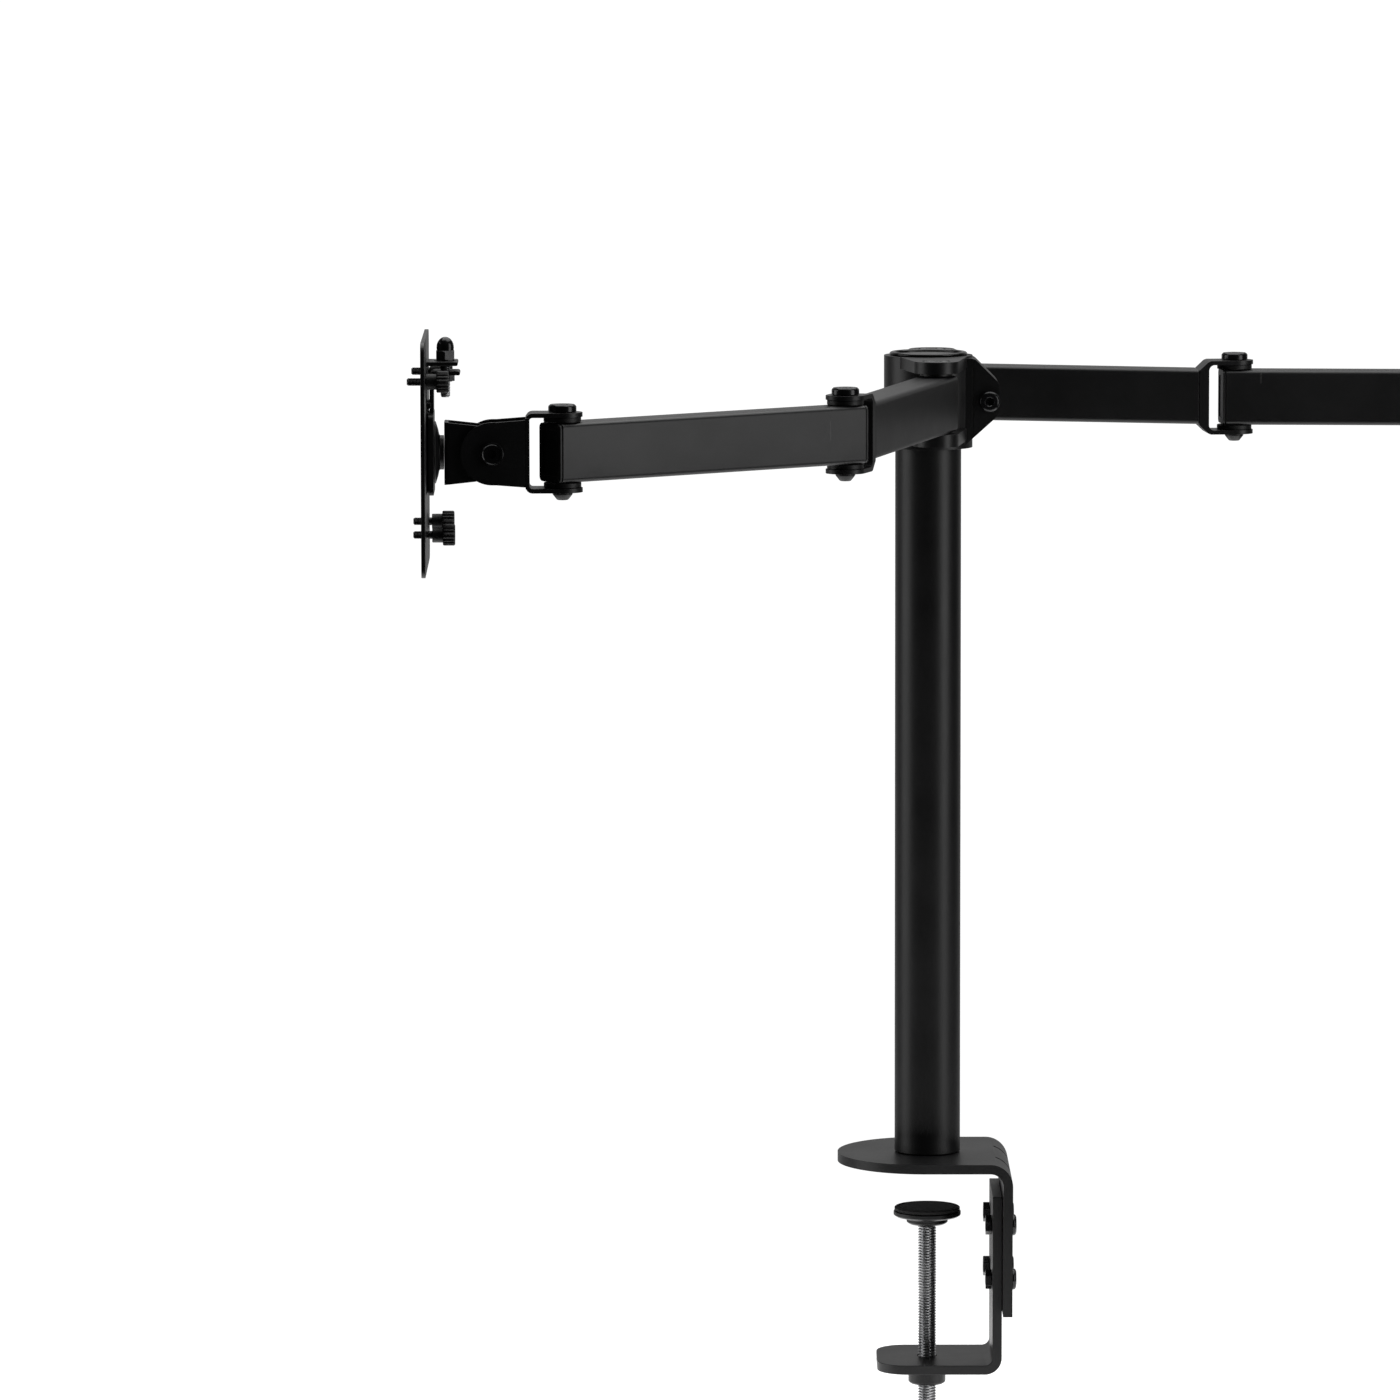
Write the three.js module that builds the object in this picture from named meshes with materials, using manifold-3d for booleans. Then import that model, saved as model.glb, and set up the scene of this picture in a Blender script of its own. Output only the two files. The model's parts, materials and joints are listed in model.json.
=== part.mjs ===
// Dual monitor arm for a desk edge: clamp, pole, collar and two jointed arms with VESA heads.
// Millimetres, +Z up. The origin is on the pole's axis, on the underside of the base plate,
// which is the face that lies on the desk. -X is the side of the person at the desk.

import * as THREE from 'three';
import { mergeVertices } from 'three/addons/utils/BufferGeometryUtils.js';
import Module from 'manifold-3d';

// ---------------------------------------------------------------------------------------
// Driving dimensions
// ---------------------------------------------------------------------------------------

const GAP = 0.3; // clearance between pieces that touch or run on each other
const RIM = 0.01; // least overlap that lets a cutter pass right through a face

// Base plate with its bent flange
const PLATE_THICKNESS = 5;
const PLATE_WIDTH = 92;
const PLATE_NOSE_X = -48;
const PLATE_BEND_RADIUS = 12;
const FLANGE_OUTER_X = 44.5;
const FLANGE_BOTTOM_Z = -78;
const FLANGE_SHOULDER_Z = -23.4;
const FLANGE_TONGUE_WIDTH = 80;

// Lower jaw of the clamp
const JAW_WIDTH = 60;
const JAW_THICKNESS = 5;
const JAW_TOP_Z = -15;
const JAW_ARM_Z = -106;
const JAW_NOSE_X = -27;
const JAW_BEND_RADIUS = 9;
const JAW_NOSE_RADIUS = 16;
const JAW_NUT_RADIUS = 10;
const JAW_NUT_HEIGHT = 10;
const JAW_BOLT_ROWS_Z = [-31.6, -61];
const JAW_BOLT_Y = 20;
const JAW_BOLT_HEAD_RADIUS = 5.7;
const JAW_BOLT_HEAD_HEIGHT = 2.3;

// Clamp screw, its pad and its knob
const DESK_THICKNESS = 25;
const CLAMP_SCREW_RADIUS = 5;
const CLAMP_PAD_RADIUS = 18;
const CLAMP_PAD_HEIGHT = 7;
const CLAMP_PAD_RIM = 2.5;
const CLAMP_PAD_BOSS_RADIUS = 11;
const BALL_RADIUS = 6;
const CUSHION_HEIGHT = 2;
const KNOB_TOP_Z = -150;
const KNOB_HEIGHT = 18;
const KNOB_RADIUS = 21;
const KNOB_LOBES = 6;
const KNOB_SCALLOP = 1.8;
const KNOB_FLOOR = 4;

// Pole and its cap
const POLE_RADIUS = 17.5;
const POLE_WALL = 2.5;
const POLE_TOP_Z = 431.9;
const POLE_FOOT_HEIGHT = 22;
const POLE_SCREW_RADIUS = 5;
const POLE_SCREW_HEAD_RADIUS = 10.2;
const POLE_SCREW_HEAD_DEPTH = 3.6;
const CAP_RADIUS = 20.6;
const CAP_FLANGE = 1.5;
const CAP_RIM = 3;
const CAP_PLUG_DEPTH = 14;

// Collar
const COLLAR_RADIUS = 23.5;
const COLLAR_BORE = 19.6;
const COLLAR_TOP_Z = 431.8;
const COLLAR_HEIGHT = 48.8;
const COLLAR_SLIT = 4;
const LUG_RADIUS = 12;
const LUG_ROOT_LEFT_X = -15.6;
const LUG_ROOT_RIGHT_X = 20;
const LUG_ROOT_Y = 16;
const UPPER_LUG_BOTTOM_Z = 425.6;
const LOWER_LUG_TOP_Z = 393.8;
const LOWER_LUG_BOTTOM_Z = 387.2;
const SHOULDER_X = 3;
const SHOULDER_Y = 48.3;
const EAR_X = 37.6;
const EAR_Y = 13.5;
const EAR_ROOT_X = 8;
const EAR_TOP_X = 24;
const EAR_FOOT_X = 19;
const EAR_EDGE_DROPS = [14.5, 30.5];
const EAR_BOLT_X = 32;
const EAR_BOLT_Z = 408;
const EAR_BOLT_HEAD_RADIUS = 5.6;
const EAR_BOLT_HEAD_HEIGHT = 3.2;
const SHOULDER_HEAD_SINK = 3.6;

// Arms: flat oval tubes, 30 x 20 mm nominal
const TUBE_HEIGHT = 29.4;
const TUBE_WIDTH = 20;
const TUBE_WALL = 2;
const TUBE_CORNER = 2.5;
const ARM_Z = 409.2;
const INNER_REACH = 163.5;
const OUTER_REACH = 169;
const TUBE_OVERHANG = 5.9;
const END_CAP_FLANGE = 1.5;
const END_CAP_PLUG = 1.4;

// Yokes, pressed from sheet
const YOKE_SHEET = 2.2;
const YOKE_HALF_HEIGHT = 19.75;
const YOKE_LUG_RADIUS = 10;
const YOKE_WEB_INNER = 15;
const YOKE_FOOT = 5.2;
const YOKE_FLARE = 5.4;
const YOKE_BEND_RADIUS = 3;

// Joint bolts and their cone nuts
const PIN_RADIUS = 4;
const THREAD_RADIUS = 3;
const HEAD_RADIUS = 7;
const HEAD_HEIGHT = 3.6;
const NUT_TOP_RADIUS = 5;
const NUT_TIP_RADIUS = 2.9;
const NUT_HEIGHT = 3.7;
const NUT_BORE_DEPTH = 2.4;

// Head: wrist yoke, tilt clevis, swivel dish, hook plate and VESA plate.
// Distances are measured from the wrist pin, away from the arm.
const HEAD_WEB_X = 16.3;
const HEAD_SHEET = 1.9;
const HEAD_WIDTH = 24;
const HEAD_EAR_RADIUS = 15.5;
const HEAD_EAR_ROOT = 16.9;
const TILT_X = 34.6;
const CLEVIS_WEB_X = 56.2;
const CLEVIS_HALF_HEIGHT = 15.5;
const CLEVIS_WAIST_HALF_HEIGHT = 13.75;
const CLEVIS_SHEET = 2;
const CLEVIS_END_RADIUS = 12;
const CLEVIS_WAIST_X = 7.5;
const NECK_RADIUS = 8.5;
const NECK_LENGTH = 2.6;
const DISH_RADIUS = 15.4;
const DISH_DEPTH = 2.2;
const HOOK_THICKNESS = 2.5;
const HOOK_HALF_WIDTH = 20;
const HOOK_HALF_HEIGHT = 20;
const HOOK_TONGUE_HALF_WIDTH = 9;
const HOOK_CORNER = 3;
const VESA_GAP = 1;
const VESA_THICKNESS = 2;
const VESA_SIZE = 115;
const VESA_CORNER = 6;
const VESA_PATTERNS = [75, 100];
const VESA_HOLE_RADIUS = 2.3;
const VESA_SLOT_HALF_WIDTH = 12;
const LOCK_TAB_LENGTH = 15.5;
const UPPER_TAB_Z = 45.4;
const LOWER_TAB_Z = 40.6;
const TAB_SHEET = 2;
const LOCK_BOLT_RADIUS = 2.5;
const LOCK_NUT_RADIUS = 5.1;
const LOCK_DOME_RADIUS = 4.3;
const LOCK_BOLT_INSET = 9.2;
const LOCK_BOLT_BOTTOM_Z = 27.3;
const LOCK_BOLT_NUT_HEIGHT = 3;
const LOCK_HEX_HEIGHT = 4.6;
const LOCK_DOME_FOOT = 1.6;
const LOCK_DOME_HEIGHT = 5.2;

// How far each thumbscrew is screwed out of its seat, in the order the screws are made.
const THUMB_SLACK = { left: [0.6, 0, 1.2, 2.8], right: [0.5, 0.5, 0.5, 0.5] };

// Tilt bolt, with a low flat head
const TILT_BORE_RADIUS = 3.3;
const TILT_HEAD_RADIUS = 5.8;
const TILT_HEAD_HEIGHT = 1.8;
const TILT_NUT_LENGTH = 3.5;

// Thumbscrews, M4, left loose in the 75 mm pattern
const THUMB_SHANK_RADIUS = 2;
const THUMB_SHANK = 9;
const THUMB_COLLAR_RADIUS = 3.8;
const THUMB_COLLAR = 5.2;
const THUMB_HEAD_RADIUS = 5.3;
const THUMB_HEAD = 6;

// How each arm stands: plan directions in degrees from +X, and how far each tube droops
const ARMS = [
  { side: 'left', lugY: -SHOULDER_Y, inner: -107.7, outer: -146.5, head: -179, innerDroop: 1.2, outerDroop: 0.45 },
  { side: 'right', lugY: SHOULDER_Y, inner: 4.8, outer: 4.8, head: 4.8, innerDroop: 1.5, outerDroop: 0.65 },
];

// ---------------------------------------------------------------------------------------
// Solids
// ---------------------------------------------------------------------------------------

const wasm = await Module();
wasm.setup();

const radians = THREE.MathUtils.degToRad;

// A closed three.js geometry as a manifold solid.
function solid(geometry) {
  const bare = geometry.clone();
  bare.deleteAttribute('normal');
  bare.deleteAttribute('uv');
  const merged = mergeVertices(bare, 1e-4);
  return new wasm.Manifold(new wasm.Mesh({
    numProp: 3,
    vertProperties: merged.attributes.position.array,
    triVerts: Uint32Array.from(merged.index.array),
  }));
}

function geometryOf(manifold) {
  const mesh = manifold.getMesh();
  const geometry = new THREE.BufferGeometry();
  geometry.setAttribute('position', new THREE.BufferAttribute(mesh.vertProperties.slice(), 3));
  geometry.setIndex(new THREE.BufferAttribute(mesh.triVerts.slice(), 1));
  geometry.computeVertexNormals();
  return geometry;
}

// Adds the first solid and everything after it in one body.
function join(...parts) {
  return parts.reduce((body, part) => body.add(part));
}

function cut(body, ...tools) {
  return tools.reduce((rest, tool) => rest.subtract(tool), body);
}

function block(x0, x1, y0, y1, z0, z1) {
  const box = new THREE.BoxGeometry(x1 - x0, y1 - y0, z1 - z0);
  return solid(box.translate((x0 + x1) / 2, (y0 + y1) / 2, (z0 + z1) / 2));
}

// A body of revolution about Z from a closed [radius, z] outline listed anticlockwise.
function turned(outline, sides = 24) {
  const points = outline.map(([radius, z]) => new THREE.Vector2(radius, z));
  points.push(points[0].clone());
  return solid(new THREE.LatheGeometry(points, sides).rotateX(Math.PI / 2));
}

// A round bar from z0 to z1 about Z.
function bar(radius, z0, z1, sides = 16) {
  return turned([[0, z0], [radius, z0], [radius, z1], [0, z1]], sides);
}

// Turns a body made about Z so that its +Z points along +X, -X, +Y or -Y, then moves it.
const AXIS_TURN = { '+x': [0, 90, 0], '-x': [0, -90, 0], '+y': [-90, 0, 0], '-y': [90, 0, 0] };

function aim(body, axis, x, y, z) {
  return body.rotate(AXIS_TURN[axis]).translate([x, y, z]);
}

// An outline in X and Y pushed up from z0 to z1.
function slab(shape, z0, z1, curveSegments = 8) {
  const options = { depth: z1 - z0, bevelEnabled: false, curveSegments };
  return solid(new THREE.ExtrudeGeometry(shape, options).translate(0, 0, z0));
}

// An outline in X and Z (as the shape's x and y) pushed along Y from -width/2 to width/2.
function sideSlab(shape, width, curveSegments = 6) {
  const options = { depth: width, bevelEnabled: false, curveSegments };
  const body = new THREE.ExtrudeGeometry(shape, options).translate(0, 0, -width / 2);
  return solid(body.rotateX(Math.PI / 2));
}

function outline(points) {
  return new THREE.Shape(points.map(([x, y]) => new THREE.Vector2(x, y)));
}

function roundedRectangle(width, height, radius) {
  const x = width / 2;
  const y = height / 2;
  const shape = new THREE.Shape();
  shape.moveTo(-x + radius, -y);
  shape.lineTo(x - radius, -y);
  shape.absarc(x - radius, -y + radius, radius, -Math.PI / 2, 0);
  shape.lineTo(x, y - radius);
  shape.absarc(x - radius, y - radius, radius, 0, Math.PI / 2);
  shape.lineTo(-x + radius, y);
  shape.absarc(-x + radius, y - radius, radius, Math.PI / 2, Math.PI);
  shape.lineTo(-x, -y + radius);
  shape.absarc(-x + radius, -y + radius, radius, Math.PI, 1.5 * Math.PI);
  return shape;
}

// A plate outline from x0 to a round end about x1, symmetric about the X axis.
function tongue(x0, x1, radius) {
  const shape = new THREE.Shape();
  shape.moveTo(x0, -radius);
  shape.lineTo(x1, -radius);
  shape.absarc(x1, 0, radius, -Math.PI / 2, Math.PI / 2);
  shape.lineTo(x0, radius);
  return shape;
}

// A button-head bolt along Z: underside of the head at z = 0, head above, shank below.
function buttonBolt(headRadius, headHeight, shankRadius, shankLength, sides = 16) {
  const crown = headRadius * 0.72;
  return turned([
    [0, -shankLength], [shankRadius, -shankLength], [shankRadius, 0], [headRadius, 0],
    [headRadius, headHeight * 0.45], [headRadius * 0.93, headHeight * 0.8], [crown, headHeight], [0, headHeight],
  ], sides);
}

// ---------------------------------------------------------------------------------------
// Finishes
// ---------------------------------------------------------------------------------------

const FINISHES = {
  powderBlack: { color: 0x2b2b2d, roughness: 0.62, metalness: 0.25 },
  boltBlack: { color: 0x141416, roughness: 0.28, metalness: 0.7 },
  plasticBlack: { color: 0x161618, roughness: 0.45, metalness: 0 },
  rubberBlack: { color: 0x1a1a1a, roughness: 0.9, metalness: 0 },
  zincSteel: { color: 0xb4b6b8, roughness: 0.35, metalness: 0.9 },
};

const arm = new THREE.Group();

// Adds one named piece, in its finish, to a group.
function add(parent, name, finish, body) {
  const mesh = new THREE.Mesh(geometryOf(body), new THREE.MeshStandardMaterial(FINISHES[finish]));
  mesh.name = name;
  parent.add(mesh);
}

// ---------------------------------------------------------------------------------------
// Clamp and base
// ---------------------------------------------------------------------------------------

const FLANGE_INNER_X = FLANGE_OUTER_X - PLATE_THICKNESS;
const JAW_OUTER_X = FLANGE_INNER_X - GAP;
const JAW_INNER_X = JAW_OUTER_X - JAW_THICKNESS;

// The bent strip seen from the side: flat plate, quarter bend, flange hanging down.
function bentStrip(noseX, outerX, topZ, bottomZ, thickness, bendRadius) {
  const shape = new THREE.Shape();
  const bendX = outerX - bendRadius;
  const bendZ = topZ - bendRadius;
  shape.moveTo(noseX, topZ - thickness);
  shape.lineTo(bendX, topZ - thickness);
  shape.absarc(bendX, bendZ, bendRadius - thickness, Math.PI / 2, 0, true);
  shape.lineTo(outerX - thickness, bottomZ);
  shape.lineTo(outerX, bottomZ);
  shape.lineTo(outerX, bendZ);
  shape.absarc(bendX, bendZ, bendRadius, 0, Math.PI / 2);
  shape.lineTo(noseX, topZ);
  return shape;
}

function boltHolesAlongX(radius, x0, x1) {
  const holes = [];
  for (const z of JAW_BOLT_ROWS_Z) {
    for (const y of [-JAW_BOLT_Y, JAW_BOLT_Y]) {
      holes.push(aim(bar(radius, 0, x1 - x0, 10), '+x', x0, y, z));
    }
  }
  return holes;
}

function basePlate() {
  const half = PLATE_WIDTH / 2;
  const strip = sideSlab(
    bentStrip(PLATE_NOSE_X, FLANGE_OUTER_X, PLATE_THICKNESS, FLANGE_BOTTOM_Z, PLATE_THICKNESS, PLATE_BEND_RADIUS),
    PLATE_WIDTH,
  );
  const plan = new THREE.Shape();
  plan.absarc(PLATE_NOSE_X + half, 0, half, Math.PI / 2, 1.5 * Math.PI);
  plan.lineTo(FLANGE_OUTER_X + 1, -half);
  plan.lineTo(FLANGE_OUTER_X + 1, half);
  const rounded = strip.intersect(slab(plan, FLANGE_BOTTOM_Z - 1, PLATE_THICKNESS + 1, 20));
  const tongueHalf = FLANGE_TONGUE_WIDTH / 2;
  const sides = [-1, 1].map((side) => block(
    FLANGE_INNER_X - 1, FLANGE_OUTER_X + 1,
    Math.min(side * tongueHalf, side * (half + 1)), Math.max(side * tongueHalf, side * (half + 1)),
    FLANGE_BOTTOM_Z - 1, FLANGE_SHOULDER_Z,
  ));
  const sinkRadius = POLE_SCREW_HEAD_RADIUS + 0.8;
  const countersink = turned([
    [0, -RIM], [sinkRadius, -RIM], [sinkRadius, 0.5], [POLE_SCREW_RADIUS + GAP, POLE_SCREW_HEAD_DEPTH + 0.4],
    [POLE_SCREW_RADIUS + GAP, PLATE_THICKNESS + 1], [0, PLATE_THICKNESS + 1],
  ]);
  const boltHoles = boltHolesAlongX(THREAD_RADIUS + GAP, FLANGE_INNER_X - 2, FLANGE_OUTER_X + 1);
  return cut(rounded, ...sides, countersink, ...boltHoles);
}

function clampBracket() {
  const strip = bentStrip(JAW_NOSE_X, JAW_OUTER_X, -JAW_ARM_Z + JAW_THICKNESS, -JAW_TOP_Z, JAW_THICKNESS, JAW_BEND_RADIUS);
  const upsideDown = sideSlab(strip, JAW_WIDTH).mirror([0, 0, 1]);
  const plan = new THREE.Shape();
  const half = JAW_WIDTH / 2;
  const nose = JAW_NOSE_RADIUS;
  plan.moveTo(JAW_OUTER_X + 1, -half);
  plan.lineTo(JAW_OUTER_X + 1, half);
  plan.lineTo(JAW_NOSE_X + nose, half);
  plan.absarc(JAW_NOSE_X + nose, half - nose, nose, Math.PI / 2, Math.PI);
  plan.absarc(JAW_NOSE_X + nose, -half + nose, nose, Math.PI, 1.5 * Math.PI);
  const strap = upsideDown.intersect(slab(plan, JAW_ARM_Z - JAW_THICKNESS - 1, JAW_TOP_Z + 1));
  const underside = JAW_ARM_Z - JAW_THICKNESS;
  const nut = bar(JAW_NUT_RADIUS, underside - JAW_NUT_HEIGHT, underside + 1);
  const thread = bar(CLAMP_SCREW_RADIUS + GAP, underside - JAW_NUT_HEIGHT - 1, JAW_ARM_Z + 1);
  return cut(join(strap, nut), thread, ...boltHolesAlongX(THREAD_RADIUS + GAP, JAW_INNER_X - 1, JAW_OUTER_X + 1));
}

const PAD_TOP_Z = -DESK_THICKNESS - CUSHION_HEIGHT - GAP;
const PAD_BOTTOM_Z = PAD_TOP_Z - CLAMP_PAD_HEIGHT;

function clampPad() {
  const dish = turned([
    [0, PAD_BOTTOM_Z], [CLAMP_PAD_BOSS_RADIUS, PAD_BOTTOM_Z], [CLAMP_PAD_BOSS_RADIUS, PAD_TOP_Z - 4],
    [CLAMP_PAD_RADIUS, PAD_TOP_Z - CLAMP_PAD_RIM],
    [CLAMP_PAD_RADIUS, PAD_TOP_Z], [0, PAD_TOP_Z],
  ]);
  return cut(dish, bar(BALL_RADIUS + GAP, PAD_BOTTOM_Z - 1, PAD_TOP_Z - CLAMP_PAD_RIM));
}

function clampScrew() {
  const socketTop = PAD_TOP_Z - CLAMP_PAD_RIM - GAP;
  const end = KNOB_TOP_Z - KNOB_HEIGHT + KNOB_FLOOR;
  return turned([
    [0, end], [CLAMP_SCREW_RADIUS, end],
    [CLAMP_SCREW_RADIUS, PAD_BOTTOM_Z + 0.5], [BALL_RADIUS, PAD_BOTTOM_Z + 1.5],
    [BALL_RADIUS, socketTop - 1], [BALL_RADIUS - 1, socketTop], [0, socketTop],
  ], 16);
}

// A lobed hand knob: a round body scalloped between its lobes, with a blind bore for the screw.
function clampKnob() {
  const shape = new THREE.Shape();
  const steps = KNOB_LOBES * 6;
  for (let step = 0; step < steps; step += 1) {
    const angle = (2 * Math.PI * step) / steps;
    const radius = KNOB_RADIUS - KNOB_SCALLOP * (1 - Math.cos(KNOB_LOBES * angle));
    const [x, y] = [radius * Math.cos(angle), radius * Math.sin(angle)];
    if (step === 0) shape.moveTo(x, y);
    else shape.lineTo(x, y);
  }
  const bottom = KNOB_TOP_Z - KNOB_HEIGHT;
  const hub = bar(JAW_NUT_RADIUS, KNOB_TOP_Z - 5, KNOB_TOP_Z);
  const body = join(slab(shape, bottom, KNOB_TOP_Z - 4), hub);
  return cut(body, bar(CLAMP_SCREW_RADIUS + GAP, bottom + KNOB_FLOOR - GAP, KNOB_TOP_Z + 1));
}

function pole() {
  const bottom = PLATE_THICKNESS + GAP;
  return turned([
    [POLE_SCREW_RADIUS + GAP, bottom], [POLE_RADIUS, bottom], [POLE_RADIUS, POLE_TOP_Z],
    [POLE_RADIUS - POLE_WALL, POLE_TOP_Z], [POLE_RADIUS - POLE_WALL, bottom + POLE_FOOT_HEIGHT],
    [POLE_SCREW_RADIUS + GAP, bottom + POLE_FOOT_HEIGHT],
  ], 32);
}

// Countersunk screw from below, its head just above the desk face.
function poleScrew() {
  const end = PLATE_THICKNESS + POLE_FOOT_HEIGHT - 2;
  return turned([
    [0, GAP], [POLE_SCREW_HEAD_RADIUS, GAP], [POLE_SCREW_HEAD_RADIUS, 2 * GAP],
    [POLE_SCREW_RADIUS, POLE_SCREW_HEAD_DEPTH], [POLE_SCREW_RADIUS, end], [0, end],
  ]);
}

function poleCap() {
  const flangeZ = POLE_TOP_Z + GAP;
  const plug = POLE_RADIUS - POLE_WALL - GAP;
  const dish = CAP_RADIUS - CAP_RIM;
  return turned([
    [0, flangeZ - CAP_PLUG_DEPTH], [plug, flangeZ - CAP_PLUG_DEPTH], [plug, flangeZ], [CAP_RADIUS, flangeZ],
    [CAP_RADIUS, flangeZ + CAP_FLANGE * 0.6], [CAP_RADIUS - 0.6, flangeZ + CAP_FLANGE],
    [dish + 0.8, flangeZ + CAP_FLANGE], [dish, flangeZ + CAP_FLANGE * 0.4], [0, flangeZ + CAP_FLANGE * 0.2],
  ], 32);
}

add(arm, 'base_plate', 'powderBlack', basePlate());
add(arm, 'clamp_bracket', 'powderBlack', clampBracket());
add(arm, 'clamp_pad', 'powderBlack', clampPad());
add(arm, 'pad_cushion', 'rubberBlack', bar(CLAMP_PAD_RADIUS - 0.5, PAD_TOP_Z + GAP, -DESK_THICKNESS));
add(arm, 'clamp_screw', 'zincSteel', clampScrew());
add(arm, 'clamp_knob', 'plasticBlack', clampKnob());
add(arm, 'pole', 'powderBlack', pole());
add(arm, 'pole_screw', 'zincSteel', poleScrew());
add(arm, 'pole_cap', 'plasticBlack', poleCap());

let boltNumber = 1;
for (const z of JAW_BOLT_ROWS_Z) {
  for (const y of [-JAW_BOLT_Y, JAW_BOLT_Y]) {
    const grip = PLATE_THICKNESS + JAW_THICKNESS - GAP;
    const bolt = buttonBolt(JAW_BOLT_HEAD_RADIUS, JAW_BOLT_HEAD_HEIGHT, THREAD_RADIUS, grip, 20);
    add(arm, `bracket_bolt_${boltNumber}`, 'boltBlack', aim(bolt, '+x', FLANGE_OUTER_X + GAP, y, z));
    boltNumber += 1;
  }
}

// ---------------------------------------------------------------------------------------
// Collar
// ---------------------------------------------------------------------------------------

const COLLAR_BOTTOM_Z = COLLAR_TOP_Z - COLLAR_HEIGHT;

// One lug plate in plan, from the sleeve out to the round end about the shoulder pin.
function lugShape(side) {
  const pinY = side * SHOULDER_Y;
  const shape = new THREE.Shape();
  shape.moveTo(LUG_ROOT_LEFT_X, side * LUG_ROOT_Y);
  shape.lineTo(SHOULDER_X - LUG_RADIUS, pinY);
  shape.absarc(SHOULDER_X, pinY, LUG_RADIUS, Math.PI, 0, side > 0);
  shape.lineTo(LUG_ROOT_RIGHT_X, side * (LUG_ROOT_Y - 4));
  return shape;
}

function collar() {
  const sleeve = bar(COLLAR_RADIUS, COLLAR_BOTTOM_Z, COLLAR_TOP_Z, 40);
  const lugs = [];
  const pinHoles = [];
  for (const side of [-1, 1]) {
    const pinY = side * SHOULDER_Y;
    lugs.push(slab(lugShape(side), UPPER_LUG_BOTTOM_Z, COLLAR_TOP_Z, 9));
    lugs.push(slab(lugShape(side), LOWER_LUG_BOTTOM_Z, LOWER_LUG_TOP_Z, 9));
    pinHoles.push(bar(PIN_RADIUS + GAP, COLLAR_BOTTOM_Z, COLLAR_TOP_Z + 1, 12).translate([SHOULDER_X, pinY, 0]));
    const counterbore = bar(HEAD_RADIUS + GAP, COLLAR_TOP_Z - SHOULDER_HEAD_SINK, COLLAR_TOP_Z + 1);
    pinHoles.push(counterbore.translate([SHOULDER_X, pinY, 0]));
  }
  const [upperDrop, lowerDrop] = EAR_EDGE_DROPS;
  const ear = sideSlab(outline([
    [EAR_ROOT_X, COLLAR_TOP_Z - 1], [EAR_TOP_X, COLLAR_TOP_Z - 1],
    [EAR_X, COLLAR_TOP_Z - upperDrop], [EAR_X, COLLAR_TOP_Z - lowerDrop],
    [EAR_FOOT_X, COLLAR_BOTTOM_Z + 1.6], [EAR_ROOT_X, COLLAR_BOTTOM_Z + 1.6],
  ]), 2 * EAR_Y);
  const bore = bar(COLLAR_BORE, COLLAR_BOTTOM_Z - 1, COLLAR_TOP_Z + 1, 32);
  const slit = block(10, EAR_X + 1, -COLLAR_SLIT / 2, COLLAR_SLIT / 2, COLLAR_BOTTOM_Z - 1, COLLAR_TOP_Z + 1);
  const earHole = aim(bar(THREAD_RADIUS + GAP, 0, 2 * EAR_Y + 2, 10), '+y', EAR_BOLT_X, -EAR_Y - 1, EAR_BOLT_Z);
  return cut(join(sleeve, ear, ...lugs), bore, slit, earHole, ...pinHoles);
}

function collarLiner() {
  return turned([
    [POLE_RADIUS + GAP, COLLAR_BOTTOM_Z], [COLLAR_BORE - GAP, COLLAR_BOTTOM_Z],
    [COLLAR_BORE - GAP, COLLAR_TOP_Z], [POLE_RADIUS + GAP, COLLAR_TOP_Z],
  ], 32);
}

add(arm, 'collar', 'powderBlack', collar());
add(arm, 'collar_liner', 'plasticBlack', collarLiner());
add(arm, 'collar_bolt', 'boltBlack', aim(
  buttonBolt(EAR_BOLT_HEAD_RADIUS, EAR_BOLT_HEAD_HEIGHT, THREAD_RADIUS, 2 * EAR_Y - 1),
  '-y', EAR_BOLT_X, -EAR_Y - GAP, EAR_BOLT_Z,
));

// ---------------------------------------------------------------------------------------
// Arms
// ---------------------------------------------------------------------------------------

// A hollow flat tube along X from x0 to x1, bored for the upright pins, that droops along X.
function tube(x0, x1, pins, droop) {
  const wallLess = roundedRectangle(TUBE_WIDTH - 2 * TUBE_WALL, TUBE_HEIGHT - 2 * TUBE_WALL, TUBE_CORNER - 1.5);
  const standing = cut(
    slab(roundedRectangle(TUBE_WIDTH, TUBE_HEIGHT, TUBE_CORNER), x0, x1, 3),
    slab(wallLess, x0 - 1, x1 + 1, 1),
  );
  // The section's x runs across the arm and its y runs up, once laid along X.
  const lying = standing.transform([0, 1, 0, 0, 0, 0, 1, 0, 1, 0, 0, 0, 0, 0, 0, 1]);
  const bores = pins.map((x) => bar(PIN_RADIUS + GAP, -TUBE_HEIGHT, TUBE_HEIGHT, 12).translate([x, 0, 0]));
  const slope = -Math.tan(radians(droop));
  return cut(lying, ...bores).transform([1, 0, slope, 0, 0, 1, 0, 0, 0, 0, 1, 0, 0, 0, 0, 1]);
}

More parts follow.
